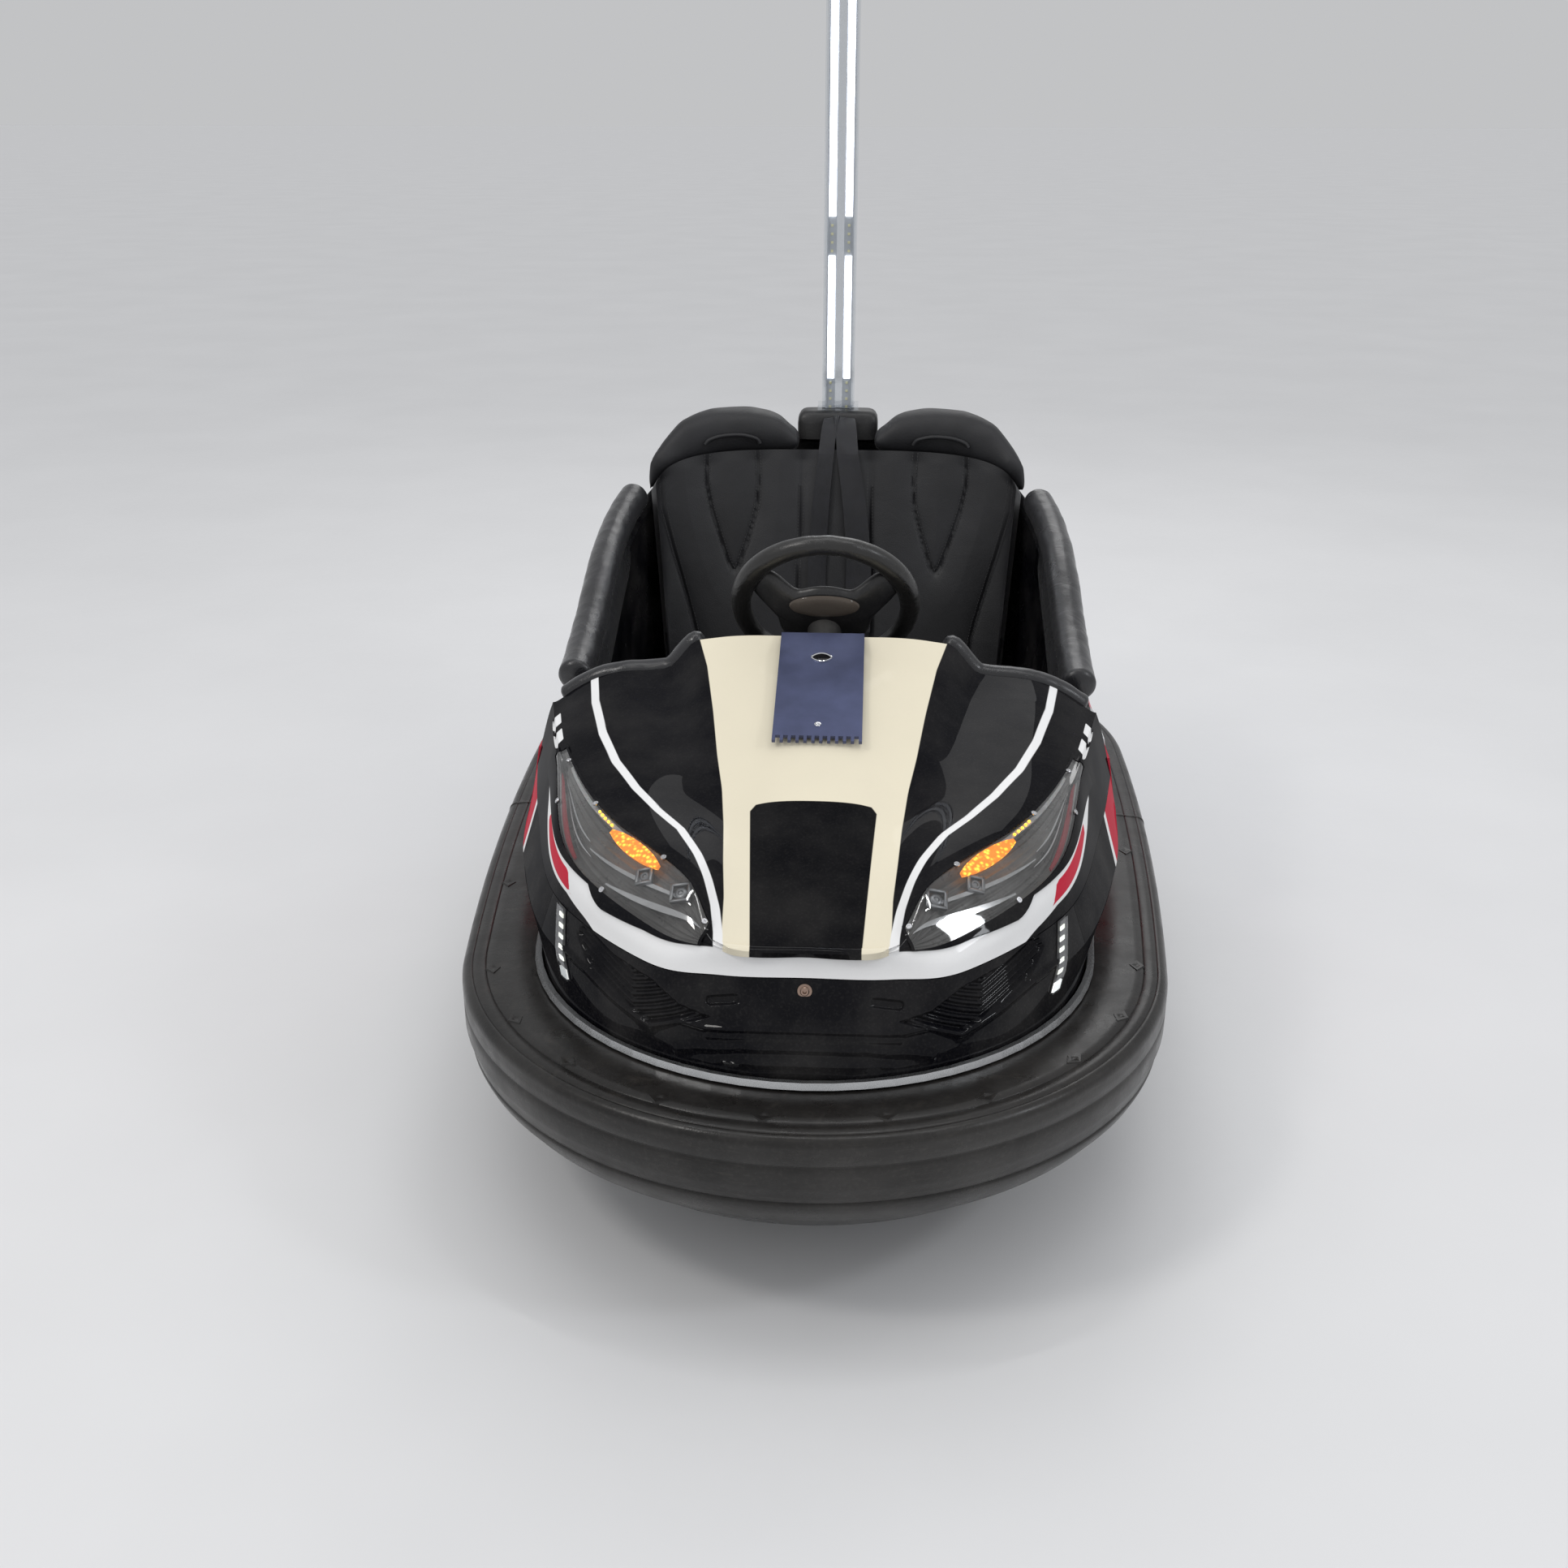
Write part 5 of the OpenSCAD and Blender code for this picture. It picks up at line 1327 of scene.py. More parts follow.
def tub_section(s):
    """Closed section of the tub: up the outside, over the rim, down the inside and round the foot."""
    q = tub_xy(s, HALF_W, TAIL_Y, 3)
    top = rim_z(q[1])
    lo = ring_xy(s, RUBBER_T + 0.002)
    belt = tub_xy(s, HALF_W + 0.032, TAIL_Y + 0.008, 3)
    up = tub_xy(s, HALF_W + 0.006, TAIL_Y, 3)
    inn = tub_xy(s, HALF_W - TUB_T, TAIL_Y - TUB_T, 4)
    foot, foot_in = ring_xy(s, RIM_IN + 0.036), ring_xy(s, RIM_IN + 0.042)
    low = FLOOR_TOP + 0.0003
    corners = [
        (lo, SILL_Z), (lo, SILL_Z + 0.016), (belt, SILL_Z + 0.085), (mix(belt, up, 0.4), SILL_Z + 0.15),
        (mix(belt, up, 0.6), SILL_Z + 0.18), (up, top - 0.04), (q, top - 0.008), (mix(q, inn, 0.3), top),
        (mix(q, inn, 0.7), top), (inn, top - 0.008), (inn, SILL_Z + 0.04), (foot_in, SILL_Z - 0.02),
        (foot_in, low), (foot, low), (foot, SILL_Z),
    ]
    return np.array([[p[0], p[1], z] for p, z in corners])


def make_tub():
    """Hollow cockpit tub, lofted round from the left front to the right front."""
    places = np.linspace(-1, 1, 193)
    rough = np.array([tub_section(s) for s in places])
    corners, tall = rough.shape[1], (1, 2, 4, 9)
    rows, inside = [], []
    for j in range(corners):
        a, b = rough[:, j], rough[:, (j + 1) % corners]
        steps = 6 if j in tall else 2
        for k in range(steps):
            rows.append(mix(a, b, k / steps))
            inside.append(1.0 if 5 <= j <= 13 else 0.0)
    grid = np.stack(rows, 1)
    inside = np.broadcast_to(np.array(inside), grid.shape[:2])
    obj = loft("cockpit_tub", grid[:, ::-1], values={"inside": inside[:, ::-1]})
    fit(obj, "chassis", finish(tub_paint), ["tub"], sharp=38)


def crumple(points, normals, height, scale, seed):
    """Pushes points out and in along normals by smooth noise."""
    flat, way = points.reshape(-1, 3), normals.reshape(-1, 3)
    broad = np.array([noise.noise(Vector(p) * scale + Vector((seed, 0, 0))) for p in flat])
    fine = np.array([noise.noise(Vector(p) * scale * 2.3 + Vector((0, seed, 0))) for p in flat])
    push = broad + 0.5 * fine
    return (flat + way * push[:, None] * height).reshape(points.shape)


def bench_look():
    """Leatherette of the bench and its headrests."""
    return finish(vinyl, "Bench_Vinyl", rgb("vinyl"), 0.12, 0.46, 0.62)


def pad_look():
    """Wrinkled leatherette of the side and dash pads."""
    return finish(vinyl, "Pad_Vinyl", rgb("vinyl"), 0.35, 0.22, 0.38, 0.3)


def rim_middle(s):
    """Middle of the tub's rim at place s round it."""
    return (tub_xy(s, HALF_W, TAIL_Y, 3) + tub_xy(s, HALF_W - TUB_T, TAIL_Y - TUB_T, 4)) / 2


def evened(rows, times):
    """Rows of points, all but the ends drawn towards their neighbours."""
    rows = np.array(rows)
    for _ in range(times):
        rows[1:-1] = (rows[:-2] + rows[1:-1] + rows[2:]) / 3
    return rows


def pad_roll(name, path, radius, node, seed):
    """Round padded roll with closed ends along a path."""
    steps = len(path)
    ease = np.minimum(1, np.minimum(np.arange(steps), np.arange(steps)[::-1]) / 3.0)
    radii = radius * np.sqrt(np.clip(1 - (1 - ease) ** 2, 0.06, 1))
    rings = rings_along(path, radii, 36)
    mid = path[:, None]
    out = rings - mid
    out /= np.maximum(np.linalg.norm(out, axis=-1, keepdims=True), 1e-9)
    rings = crumple(rings, out, sizes().wrinkle, 38, seed)
    obj = loft(name, rings)
    fit(obj, "chassis", pad_look(), [node], sharp=60)


# Side pad's apron: share of the way from the rim's middle to the tub's inside, height over the rim
APRON = [(0.0, 0.014), (0.55, 0.011), (0.92, 0.006), (1.14, -0.006), (1.27, -0.030), (1.24, -0.058),
         (1.14, -0.064)]


def make_side_pad(side):
    """Roll on the tub's rim with a slack apron down its inside."""
    name = side_name(side)
    path = []
    for s in np.linspace(0.865, 0.44, 100):
        x, y = rim_middle(s)
        path.append((side * x, y, rim_z(y) + 0.035))
    pad_roll("side_pad_roll_" + name, evened(path, 60), 0.030, "side_pad_" + name, 3.0 + side)
    rows = []
    for s in np.linspace(0.86, 0.43, 100):
        x, y = rim_middle(s)
        rows.append([(side * mix(x, HALF_W - TUB_T, a), y, rim_z(y) + z) for a, z in APRON])
    rows = evened(rows, 60)
    share = np.linspace(0, 6, 25)
    low = np.minimum(share.astype(int), 5)
    fine = rows[:, low] + (rows[:, low + 1] - rows[:, low]) * (share - low)[None, :, None]
    fine = evened(fine.swapaxes(0, 1), 4).swapaxes(0, 1)
    apron = sheet("side_pad_apron_" + name, fine if side > 0 else fine[::-1], 0.003)
    fit(apron, "chassis", pad_look(), sharp=50)


def make_dash_pad(side):
    """Roll along the bonnet's rear edge."""
    name = side_name(side)
    line = skin([5], np.linspace(3, 4.8, 50))[0]
    path = line * [side, 1, 1] + [0, 0.0199, -0.006]
    pad_roll("dash_pad_roll_" + name, path, 0.0175, "dash_pad_" + name, 7.0 + side)


def make_step_plate(side):
    """Finish of a step plate."""
    dress("step_plate_" + side_name(side), finish(tread_plate))


# Bench, headrests and strap

def back_point(u, v, t):
    """Backrest point: u from -1 (left) to 1, v from 0 (foot) to 1, t metres behind its front."""
    wing_w, side_gap, taper, dip = 0.120, 0.047, 0.030, 0.056
    wing = wing_w * max(0, (v - 0.2) / 0.8) ** 1.2
    back_w = 2 * (HALF_W - TUB_T - side_gap)
    half = mix(back_w / 2 - taper, back_w / 2, v) + t * 0.2
    y = CUSHION_Y + CUSHION_L + 0.0003 + v * (BACK_TOP - BACK_Z0) * math.tan(BACK_LEAN) + t
    wrap = wing + t * mix(0.4, 0.9, v)
    a = math.radians(84 * u)
    x = math.copysign(half * abs(math.sin(a)) ** (2 / 3), u)
    return np.array([x, y - wrap * (1 - math.cos(a) ** (2 / 3)),
                     BACK_Z0 + v * (BACK_TOP - BACK_Z0 - dip * abs(u) ** 2.5 - t * 0.3)])


# Seams of the backrest's right half, from the middle line and over the seat: across, up
BACK_SEAMS = [
    [(0.074, 0.30), (0.078, 0.55), (0.072, 0.70), (0.070, 0.845)],
    [(0.163, 0.845), (0.160, 0.78), (0.164, 0.73), (0.182, 0.668), (0.200, 0.618), (0.209, 0.607),
     (0.218, 0.618), (0.236, 0.667), (0.255, 0.725), (0.266, 0.78), (0.266, 0.84)],
    [(0.356, 0.80), (0.352, 0.735), (0.332, 0.648), (0.302, 0.54), (0.287, 0.48), (0.279, 0.38),
     (0.277, 0.29)],
]


def stitch_at(spot, ahead, front, normals):
    """Stitch at a place across and up on the backrest's front, or None where its front has no point near."""
    near = np.hypot(front[..., 0] - spot[0], front[..., 2] - spot[1])
    i, j = np.unravel_index(np.argmin(near), near.shape)
    if near[i, j] > 0.006:
        return None
    at, n = front[i, j], normals[i, j]
    z, x = Vector(n), Vector((ahead[0], 0, ahead[1]))
    x = (x - z * x.dot(z)).normalized()
    y = at[1] - (n[2] / n[1]) * (spot[1] - at[2]) - (n[0] / n[1]) * (spot[0] - at[0])
    turn = Matrix((x, z.cross(x), z)).transposed().to_4x4()
    size = (sizes().stitch, 0.0011, 0.0010)
    return block(size, (0, 0, 0.0002), Matrix.Translation((spot[0], y, spot[1])) @ turn)


def make_stitches(front, normals):
    """Two rows of stitches along every seam of the backrest."""
    pitch, aside = 0.0062, 0.0052
    sewn = []
    for line in BACK_SEAMS:
        way = spline(np.array(line, float), np.linspace(0, len(line) - 1, 400))
        run = np.concatenate([[0], np.cumsum(np.linalg.norm(np.diff(way, axis=0), axis=1))])
        for d in np.arange(0.004, run[-1] - 0.004, pitch):
            at, to = (np.array([np.interp(e, run, way[:, k]) for k in (0, 1)]) for e in (d, d + 0.002))
            ahead = (to - at) / np.linalg.norm(to - at)
            for off in (-aside, aside):
                spot = at + off * np.array([-ahead[1], ahead[0]])
                sewn += [stitch_at(spot * [side, 1], ahead * [side, 1], front, normals) for side in (-1, 1)]
    thread = finish(plastic, "Stitch_Thread", (0.035, 0.035, 0.037), 0.5, 0.65)
    fit(joined("backrest_stitches", [s for s in sewn if s]), "chassis", thread)


def make_backrest():
    """Backrest, hollowed along its sewn seams."""
    us, vs = np.linspace(-1, 1, 261), np.linspace(0, 1, 111)
    front = np.array([[back_point(u, v, 0.0) for v in vs] for u in us])
    flat = np.stack([np.abs(front[..., 0]), front[..., 2]], -1)
    gap = np.full(flat.shape[:2], 1.0)
    for line in BACK_SEAMS:
        gap = np.minimum(gap, line_distance(flat, np.array(line))[0])
    puff, spread, seam_w, sink = 0.010, 0.030, 0.0030, 0.006
    seam = sizes().seam_depth * np.exp(-((gap / seam_w) ** 2))
    crown = puff * (1 - np.exp(-gap / spread)) - seam - sink
    rim = np.minimum(np.minimum(vs[None] * 0.56, (1 - vs[None]) * 0.56), (1 - np.abs(us))[:, None] * 0.45)
    crown = crown * np.clip(rim / 0.02, 0, 1)
    n = normals_of(front)
    n *= np.sign(-n[..., 1:2])
    front = front + n * crown[..., None]
    rear = np.array([[back_point(u, v, BACK_T) for v in vs] for u in us])
    make_stitches(front, n)
    obj = panel("backrest_pad", rear, front)
    fit(obj, "chassis", bench_look(), ["backrest"], sharp=60)


def make_cushion():
    """Seat cushion and the box under it."""
    pad = swollen("seat_cushion", "seat_cushion_pad", 0.007, 0.010)
    fit(pad, "chassis", bench_look(), ["seat_cushion"], sharp=80)
    dress("bench_box", finish(plastic, "Bench_Plastic", (0.02, 0.02, 0.02)))


def swollen(node, name, cap, shrink, ease=6):
    """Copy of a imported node, remeshed and blown up as cloth, then eased."""
    voxel, pressure, frames = 0.006, 4, 20
    source = NODES[node]
    obj = bpy.data.objects.new(name, source.data.copy())
    bpy.context.scene.collection.objects.link(obj)
    lo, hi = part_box(node)
    mid = (lo + hi) / 2
    for v in obj.data.vertices:
        for i in range(3):
            half = (hi[i] - lo[i]) / 2
            v.co[i] = mid[i] + (v.co[i] - mid[i]) * (1 - shrink / max(half, 0.02) * 0.5)
    obj.data.materials.clear()
    remesh = obj.modifiers.new("remesh", "REMESH")
    remesh.mode, remesh.voxel_size = "VOXEL", voxel
    bake_modifiers(obj)
    before = np.array([v.co for v in obj.data.vertices])
    cloth = obj.modifiers.new("cloth", "CLOTH")
    cloth.settings.use_pressure = True
    cloth.settings.uniform_pressure_force = pressure
    cloth.settings.effector_weights.gravity = 0
    for i in range(1, frames + 1):
        bpy.context.scene.frame_set(i)
    bake_modifiers(obj)
    bpy.context.scene.frame_set(1)
    after = np.array([v.co for v in obj.data.vertices])
    move = after - before
    size = np.linalg.norm(move, axis=1, keepdims=True)
    after = before + move * np.minimum(1, cap / np.maximum(size, 1e-9))
    obj.data.vertices.foreach_set("co", after.ravel())
    smooth = obj.modifiers.new("smooth", "SMOOTH")
    smooth.factor, smooth.iterations = 0.5, ease
    bake_modifiers(obj)
    return obj


def bake_modifiers(obj):
    """Makes what the modifiers show the mesh itself."""
    graph = bpy.context.evaluated_depsgraph_get()
    mesh = bpy.data.meshes.new_from_object(obj.evaluated_get(graph))
    obj.modifiers.clear()
    obj.data = mesh


def surface(node):
    """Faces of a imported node, ready to be met by rays."""
    obj = NODES[node]
    points = [obj.matrix_world @ v.co for v in obj.data.vertices]
    return BVHTree.FromPolygons(points, [tuple(p.vertices) for p in obj.data.polygons])


def welt(name, node, places):
    """Raised cord on a packed pad's front along places given across and up."""
    radius, lift = 0.0042, 0.1
    tree = surface(node)
    path = []
    for x, z in spline(np.array(places, float), np.linspace(0, len(places) - 1, 40)):
        at, normal, _, _ = tree.ray_cast(Vector((x, -2.0, z)), Vector((0, 1, 0)))
        if at:
            path.append(at + normal * radius * lift)
    obj = loft(name, rings_along(np.array(path), radius, 10))
    fit(obj, "chassis", bench_look(), sharp=60)


# Welt over the right headrest: across, up
HEADREST_LIP = [(0.158, 0.858), (0.166, 0.868), (0.190, 0.8745), (0.214, 0.8755), (0.240, 0.873),
                (0.262, 0.866), (0.270, 0.857)]


def make_headrest(side):
    """Headrest with a welt over it."""
    name = side_name(side)
    pad = swollen("headrest_" + name, "headrest_pad_" + name, 0.005, 0.006, 26)
    fit(pad, "chassis", bench_look(), ["headrest_" + name], sharp=80)
    welt("headrest_welt_" + name, "headrest_" + name, [(side * x, z) for x, z in HEADREST_LIP])


def ribbon(name, middle, across):
    """Woven band along a path, with thicker selvedges; across gives its width direction and half width."""
    middle, across = np.array(middle, float), np.array(across, float)
    share = np.array([-1, -0.96, -0.86, -0.5, 0, 0.5, 0.86, 0.96, 1])
    grid = middle[:, None] + across[:, None] * share[None, :, None]
    half = 0.0009 + 0.0007 * (np.abs(share) > 0.84)[None, :, None]
    n = normals_of(grid)
    return panel(name, grid + n * half, grid - n * half)


def make_strap():
    """Two legs of a lap belt, up the backrest and over its top."""
    over_y, over_z = 0.786, 0.900
    for side, low_x, half, top_x in ((-1, -0.036, 0.019, -0.011), (1, 0.051, 0.026, 0.013)):
        middle, across = [], []
        for v in np.linspace(0.36, 0.985, 34):
            p = back_point(0, v, 0)
            share = max(0, (v - 0.56) / 0.425)
            middle.append((mix(low_x, top_x + side * 0.010, share ** 1.6),
                           p[1] - 0.0075 - 0.004 * math.sin(share * math.pi), p[2] + 0.001))
            across.append((half * mix(1, 0.85, share), 0.004 * side * math.sin(share * math.pi), 0))
        y, z = middle[-1][1], middle[-1][2]
        for a in np.linspace(0.12, 1, 14):
            middle.append((mix(top_x + side * 0.010, top_x, a),
                           mix(y, over_y, math.sin(a * math.pi / 2) * 0.4 + a * 0.6),
                           mix(z, over_z, math.sin(a * math.pi / 2))))
            across.append((half * 0.85, side * 0.006 * a, side * -0.004))
        for a in np.linspace(0.25, 1, 4):
            middle.append((top_x, over_y + 0.008 * math.sin(a * math.pi / 2), over_z - 0.030 * a * a))
            across.append((half * 0.85, side * 0.006, side * -0.004))
        obj = ribbon("strap_leg_" + side_name(side), middle, across)
        fit(obj, "chassis", finish(webbing), ["lap_strap"] if side < 0 else [], sharp=50)


# Steering

def polar_plate(name, reach, middle, rows, count=180):
    """Plate out to reach(angle) round the shaft; its rows are shares of the reach and heights over middle."""
    grid = []
    for t in np.linspace(0, 2 * math.pi, count, endpoint=False):
        r = reach(t)
        ring = [(r * k, h) for k, h in rows]
        grid.append([ON_SHAFT @ Vector((q * math.cos(t), q * math.sin(t), middle(q) + h)) for q, h in ring])
    return new_object(name, np.array(grid), grid_faces(count, len(rows), wrap_u=True))


def make_grip():
    """Leather-covered rim of the steering wheel, seamed inside and dented for the fingers."""
    leather = finish(vinyl, "Wheel_Leather", (0.012, 0.0115, 0.011), 0.45, 0.26, 0.44, 0.25)
    ring_r, grip = 0.1415, 0.0172
    a = np.linspace(0, 2 * math.pi, 220, endpoint=False)
    b = np.linspace(0, 2 * math.pi, 28, endpoint=False)
    swell = 1 + 0.06 * np.cos(3 * (a - math.pi / 2)) + 0.02 * np.sin(a * 24) * np.clip(np.sin(a * 3), 0, 1)
    seam = 1 - 0.07 * np.exp(-((np.cos(b) + 1) / 0.02) ** 2)
    r = ring_r + (grip * swell)[:, None] * (seam * np.cos(b))[None]
    z = (grip * swell)[:, None] * (seam * np.sin(b))[None]
    flat = np.stack([r * np.cos(a)[:, None], r * np.sin(a)[:, None], z], -1).reshape(-1, 3)
    pts = [ON_SHAFT @ Vector(q) for q in flat]
    rim = new_object("wheel_grip", pts, grid_faces(220, 28, wrap_u=True, wrap_v=True))
    fit(rim, "steering_wheel", leather, ["steering_rim"], sharp=60)


def make_spokes():
    """Three spokes that spread from a dished middle to the rim."""
    def reach(t):
        """Distance from the middle to the outline, longer along the spokes."""
        near = min(abs((t - math.radians(s) + math.pi) % (2 * math.pi) - math.pi) for s in (90, 210, 330))
        return 0.076 + 0.055 / (1 + (near / 0.30) ** 6)

    def mid(q):
        """Height of the middle layer at a distance from the middle."""
        k = min(1, max(0, (q - 0.062) / 0.070))
        return mix(-0.033, -0.002, k * k * (3 - 2 * k))
    rows = [(0.002, -0.0125), (0.35, -0.0125), (0.7, -0.0115), (0.88, -0.009), (0.96, -0.0065),
            (1.0, -0.002)]
    rows += [(1.0, 0.002), (0.96, 0.006), (0.88, 0.0085), (0.7, 0.0095), (0.45, 0.0095), (0.16, 0.0095)]
    hub = polar_plate("wheel_spokes", reach, mid, rows)
    fit(hub, "steering_wheel",
        finish(plastic, "Spoke_Plastic", (0.010, 0.010, 0.011), 0.28, 0.42), sharp=50)


def make_wheel_cover():
    """Oval cover low on the steering wheel's middle."""
    def oval(t):
        """Distance from the middle to the cover's edge."""
        return 1 / math.hypot(math.cos(t) / 0.058, math.sin(t) / 0.024)
    rows = [(1.0, -0.0440), (0.97, -0.0475), (0.86, -0.0500), (0.5, -0.0515), (0.01, -0.0520)]
    cover = polar_plate("wheel_cover", oval, lambda q: 0, rows, 96)
    for v in cover.data.vertices:
        v.co += ON_SHAFT.to_3x3() @ Vector((0, -0.046, 0))
    fit(cover, "steering_wheel", finish(cover_gloss), sharp=40)


def make_steering():
    """Steering wheel, column and pedal."""
    make_grip()
    make_spokes()
    make_wheel_cover()
    dress("steering_hub", finish(plastic, "Hub_Plastic", (0.02, 0.02, 0.022)))
    dress("steering_shaft", finish(metal, "Shaft_Steel", (0.5, 0.5, 0.52)))
    dress("steering_column", finish(plastic, "Column_Plastic", (0.012, 0.012, 0.012)))
    dress("pedal", finish(coated_steel, "Pedal_Steel", (0.04, 0.04, 0.04)))


def cover_gloss():
    """Dark brown gloss of the steering wheel's cover."""
    return gloss("Cover_Gloss", (0.085, 0.070, 0.058))


# Lit stretches of the lamp pole, in metres over the floor
POLE_LIT = [(0.9745, 1.220), (1.296, 2.070)]


def make_pole_box():
    """Black box at the pole's foot with rounded corners and a domed top."""
    lo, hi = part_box("pole_box")
    mid, size = (lo + hi) / 2, hi - lo
    corner = 2 / 7
    eased_top = [(0, 0.002), (0.002, 0), (0.034, 0), (0.046, 0.0015), (0.0535, 0.0055)]
    eased_top += [(0.058, 0.0105), (0.0605, 0.017), (0.0615, 0.026)]
    rings = []
    for z, inset in eased_top:
        w, d = size[0] / 2 - inset, size[1] / 2 - inset
        ring = []
        for a in np.linspace(0, 2 * math.pi, 96, endpoint=False):
            c, s = math.cos(a), math.sin(a)
            x = mid[0] + w * math.copysign(abs(c) ** corner, c)
            ring.append((x, mid[1] + d * math.copysign(abs(s) ** corner, s), lo[2] + z))
        rings.append(ring)
    box = loft("pole_box_cover", np.array(rings))
    plain = finish(plastic, "Box_Plastic", (0.012, 0.012, 0.013))
    fit(box, "chassis", plain, ["pole_box"], sharp=40)
    dress("pole_cap", plain)


def make_pole_lights():
    """Two angled boards up the pole, lit over two stretches and bare chips elsewhere."""
    lo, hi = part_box("pole_lights")
    y, mid_z, tall = (lo[1] + hi[1]) / 2, (lo[2] + hi[2]) / 2, hi[2] - lo[2]
    boards, lit, chips = [], [], []
    for side in (-1, 1):
        x = side * 0.017
        boards.append(block((0.019, 0.003, tall), (x, y, mid_z)))
        boards.append(block((0.003, 0.011, tall), (side * 0.0255, y, mid_z)))
        for a, b in POLE_LIT:
            for face in (-1, 1):
                lit.append(block((0.0145, 0.003, b - a), (x, y + face * 0.0034, (a + b) / 2)))
        for z in np.arange(lo[2] + 0.012, hi[2] - 0.006, sizes().chip_pitch):
            if not any(a - 0.004 < z < b + 0.004 for a, b in POLE_LIT):
                chips += [block((0.005, 0.0016, 0.005), (x, y + face * 0.0023, z)) for face in (-1, 1)]
    board = finish(plastic, "Led_Board", (0.42, 0.44, 0.47), 0.3, 0.45)
    fit(joined("pole_boards", boards), "chassis", board, ["pole_lights"])
    shine = finish(glow, "Pole_Lit", (0.90, 0.93, 1.0), 3.2)
    fit(joined("pole_lit_strips", lit), "chassis", shine)
    bare = finish(plastic, "Led_Chip", (0.72, 0.68, 0.40), 0.25, 0.4)
    fit(joined("pole_chips", chips), "chassis", bare)


def make_pole():
    """Lamp pole on its box."""
    make_pole_box()
    see_through = finish(clear, "Pole_Clear", (0.93, 0.94, 0.95), 0.02)
    dress("pole_socket", see_through)
    dress("pole_tube", see_through)
    make_pole_lights()


# Wheels and drive

def make_tyre(node, body, blocks):
    """Tyre with a tread, drawn in the place of a packed one; its axle runs across the car."""
    lo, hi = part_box(node)
    mid, r, half = (lo + hi) / 2, (hi[2] - lo[2]) / 2, (hi[0] - lo[0]) / 2
    rows = [(r - 0.033, -half), (r - 0.020, -half), (r - 0.014, -half + 0.0012), (r - 0.008, -half),
            (r - 0.003, -half + 0.002), (r - 0.0006, -half + 0.006)]
    inner = [(r, x) for x in np.linspace(-half + 0.009, half - 0.009, 13)]
    rows = rows + inner + [(q, -x) for q, x in rows[::-1]]
    groove, steps = 0.0028, 8
    grid = []
    for k in range(blocks * steps):
        a = 2 * math.pi * k / (blocks * steps)
        row = []
        for q, x in rows:
            lane = abs(abs(x) - half * 0.35) < half * 0.07
            slot = (k + (steps // 2 if x > 0 else 0)) % steps == 0 and abs(x) > half * 0.38
            deep = groove if q > r - 0.004 and (lane or slot) else 0
            row.append((mid[0] + x, mid[1] + (q - deep) * math.cos(a), mid[2] + (q - deep) * math.sin(a)))
        grid.append(row)
    obj = loft(node + "_tread", np.array(grid), closed=True)
    return fit(obj, body, finish(tyre_rubber), [node], sharp=35)


def hex_head(size, height, matrix):
    """Points and faces of a bolt head with a washer."""
    washer = [(size * 0.62, 0.0), (size * 0.62, height * 0.25)]
    head = [(size * 0.5, height * 0.25), (size * 0.5, height * 0.85), (size * 0.42, height)]
    parts = []
    for ring, count in ((washer, 20), (head, 6)):
        t = np.linspace(0, 2 * math.pi, count, endpoint=False)
        pts = [matrix @ Vector((r * math.cos(q), r * math.sin(q), z)) for r, z in ring for q in t]
        last = (len(ring) - 1) * count
        caps = [list(range(count - 1, -1, -1)), list(range(last, last + count))]
        parts.append((np.array(pts), grid_faces(len(ring), count, wrap_v=True) + caps))
    return parts


def make_motor():
    """Motor with cooling fins and four bolts on its end."""
    lo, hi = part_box("drive_motor")
    mid, r, length = (lo + hi) / 2, (hi[2] - lo[2]) / 2, hi[0] - lo[0]
    turn = Matrix.Translation((lo[0], mid[1], mid[2])) @ Matrix.Rotation(math.pi / 2, 4, "Y")
    bell = [(0.020, 0.0), (r * 0.93, 0.0), (r * 0.97, 0.003), (r * 0.97, 0.026), (r * 0.91, 0.029),
            (r * 0.91, length - 0.030), (r * 0.95, length - 0.028), (r * 0.95, length - 0.010),
            (r * 0.88, length - 0.002), (r * 0.60, length), (r * 0.56, length - 0.003),
            (0.001, length - 0.003)]
    body = lathe("motor_body", bell, 72, turn)
    fins = []
    for a in np.arange(0, 360, 10):
        if 60 < a < 120:
            continue
        m = turn @ Matrix.Rotation(math.radians(a + 180), 4, "Z")
        fins.append(block((0.007, 0.0024, length - 0.064), (r * 0.955, 0, length / 2), m))
    for a in np.arange(45, 360, 90):
        spot = Matrix.Translation((r * 0.80, 0, length - 0.0062))
        fins += hex_head(0.010, 0.006, turn @ Matrix.Rotation(math.radians(a), 4, "Z") @ spot)
    merge(body, [joined("fins", fins)])
    fit(body, "drive_unit", finish(coated_steel, "Motor_Paint", (0.02, 0.05, 0.12), 0.15),
        ["drive_motor"], sharp=35)


def make_hub(node, body, count, ring):
    """Finish of a wheel's hub and the bolts round it."""
    dress(node, finish(metal, "Hub_Metal", (0.5, 0.5, 0.52)))
    lo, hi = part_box(node)
    mid = (lo + hi) / 2
    heads = []
    tree = surface(node)
    for side in (-1, 1):
        for k in range(count):
            a = 2 * math.pi * k / count
            y, z = mid[1] + ring * math.cos(a), mid[2] + ring * math.sin(a)
            at, normal, _, _ = tree.ray_cast(Vector((mid[0] + side * 0.2, y, z)), Vector((-side, 0, 0)))
            if at and abs(normal[0]) > 0.9 and abs(at[0] - mid[0]) < (hi[0] - lo[0]) / 2 - 0.004:
                heads += hex_head(0.009, 0.0038,
                                  Matrix.Translation(at) @ Matrix.Rotation(side * math.pi / 2, 4, "Y"))
    if heads:
        fit(joined(node + "_bolts", heads), body, finish(screw_steel), sharp=30)


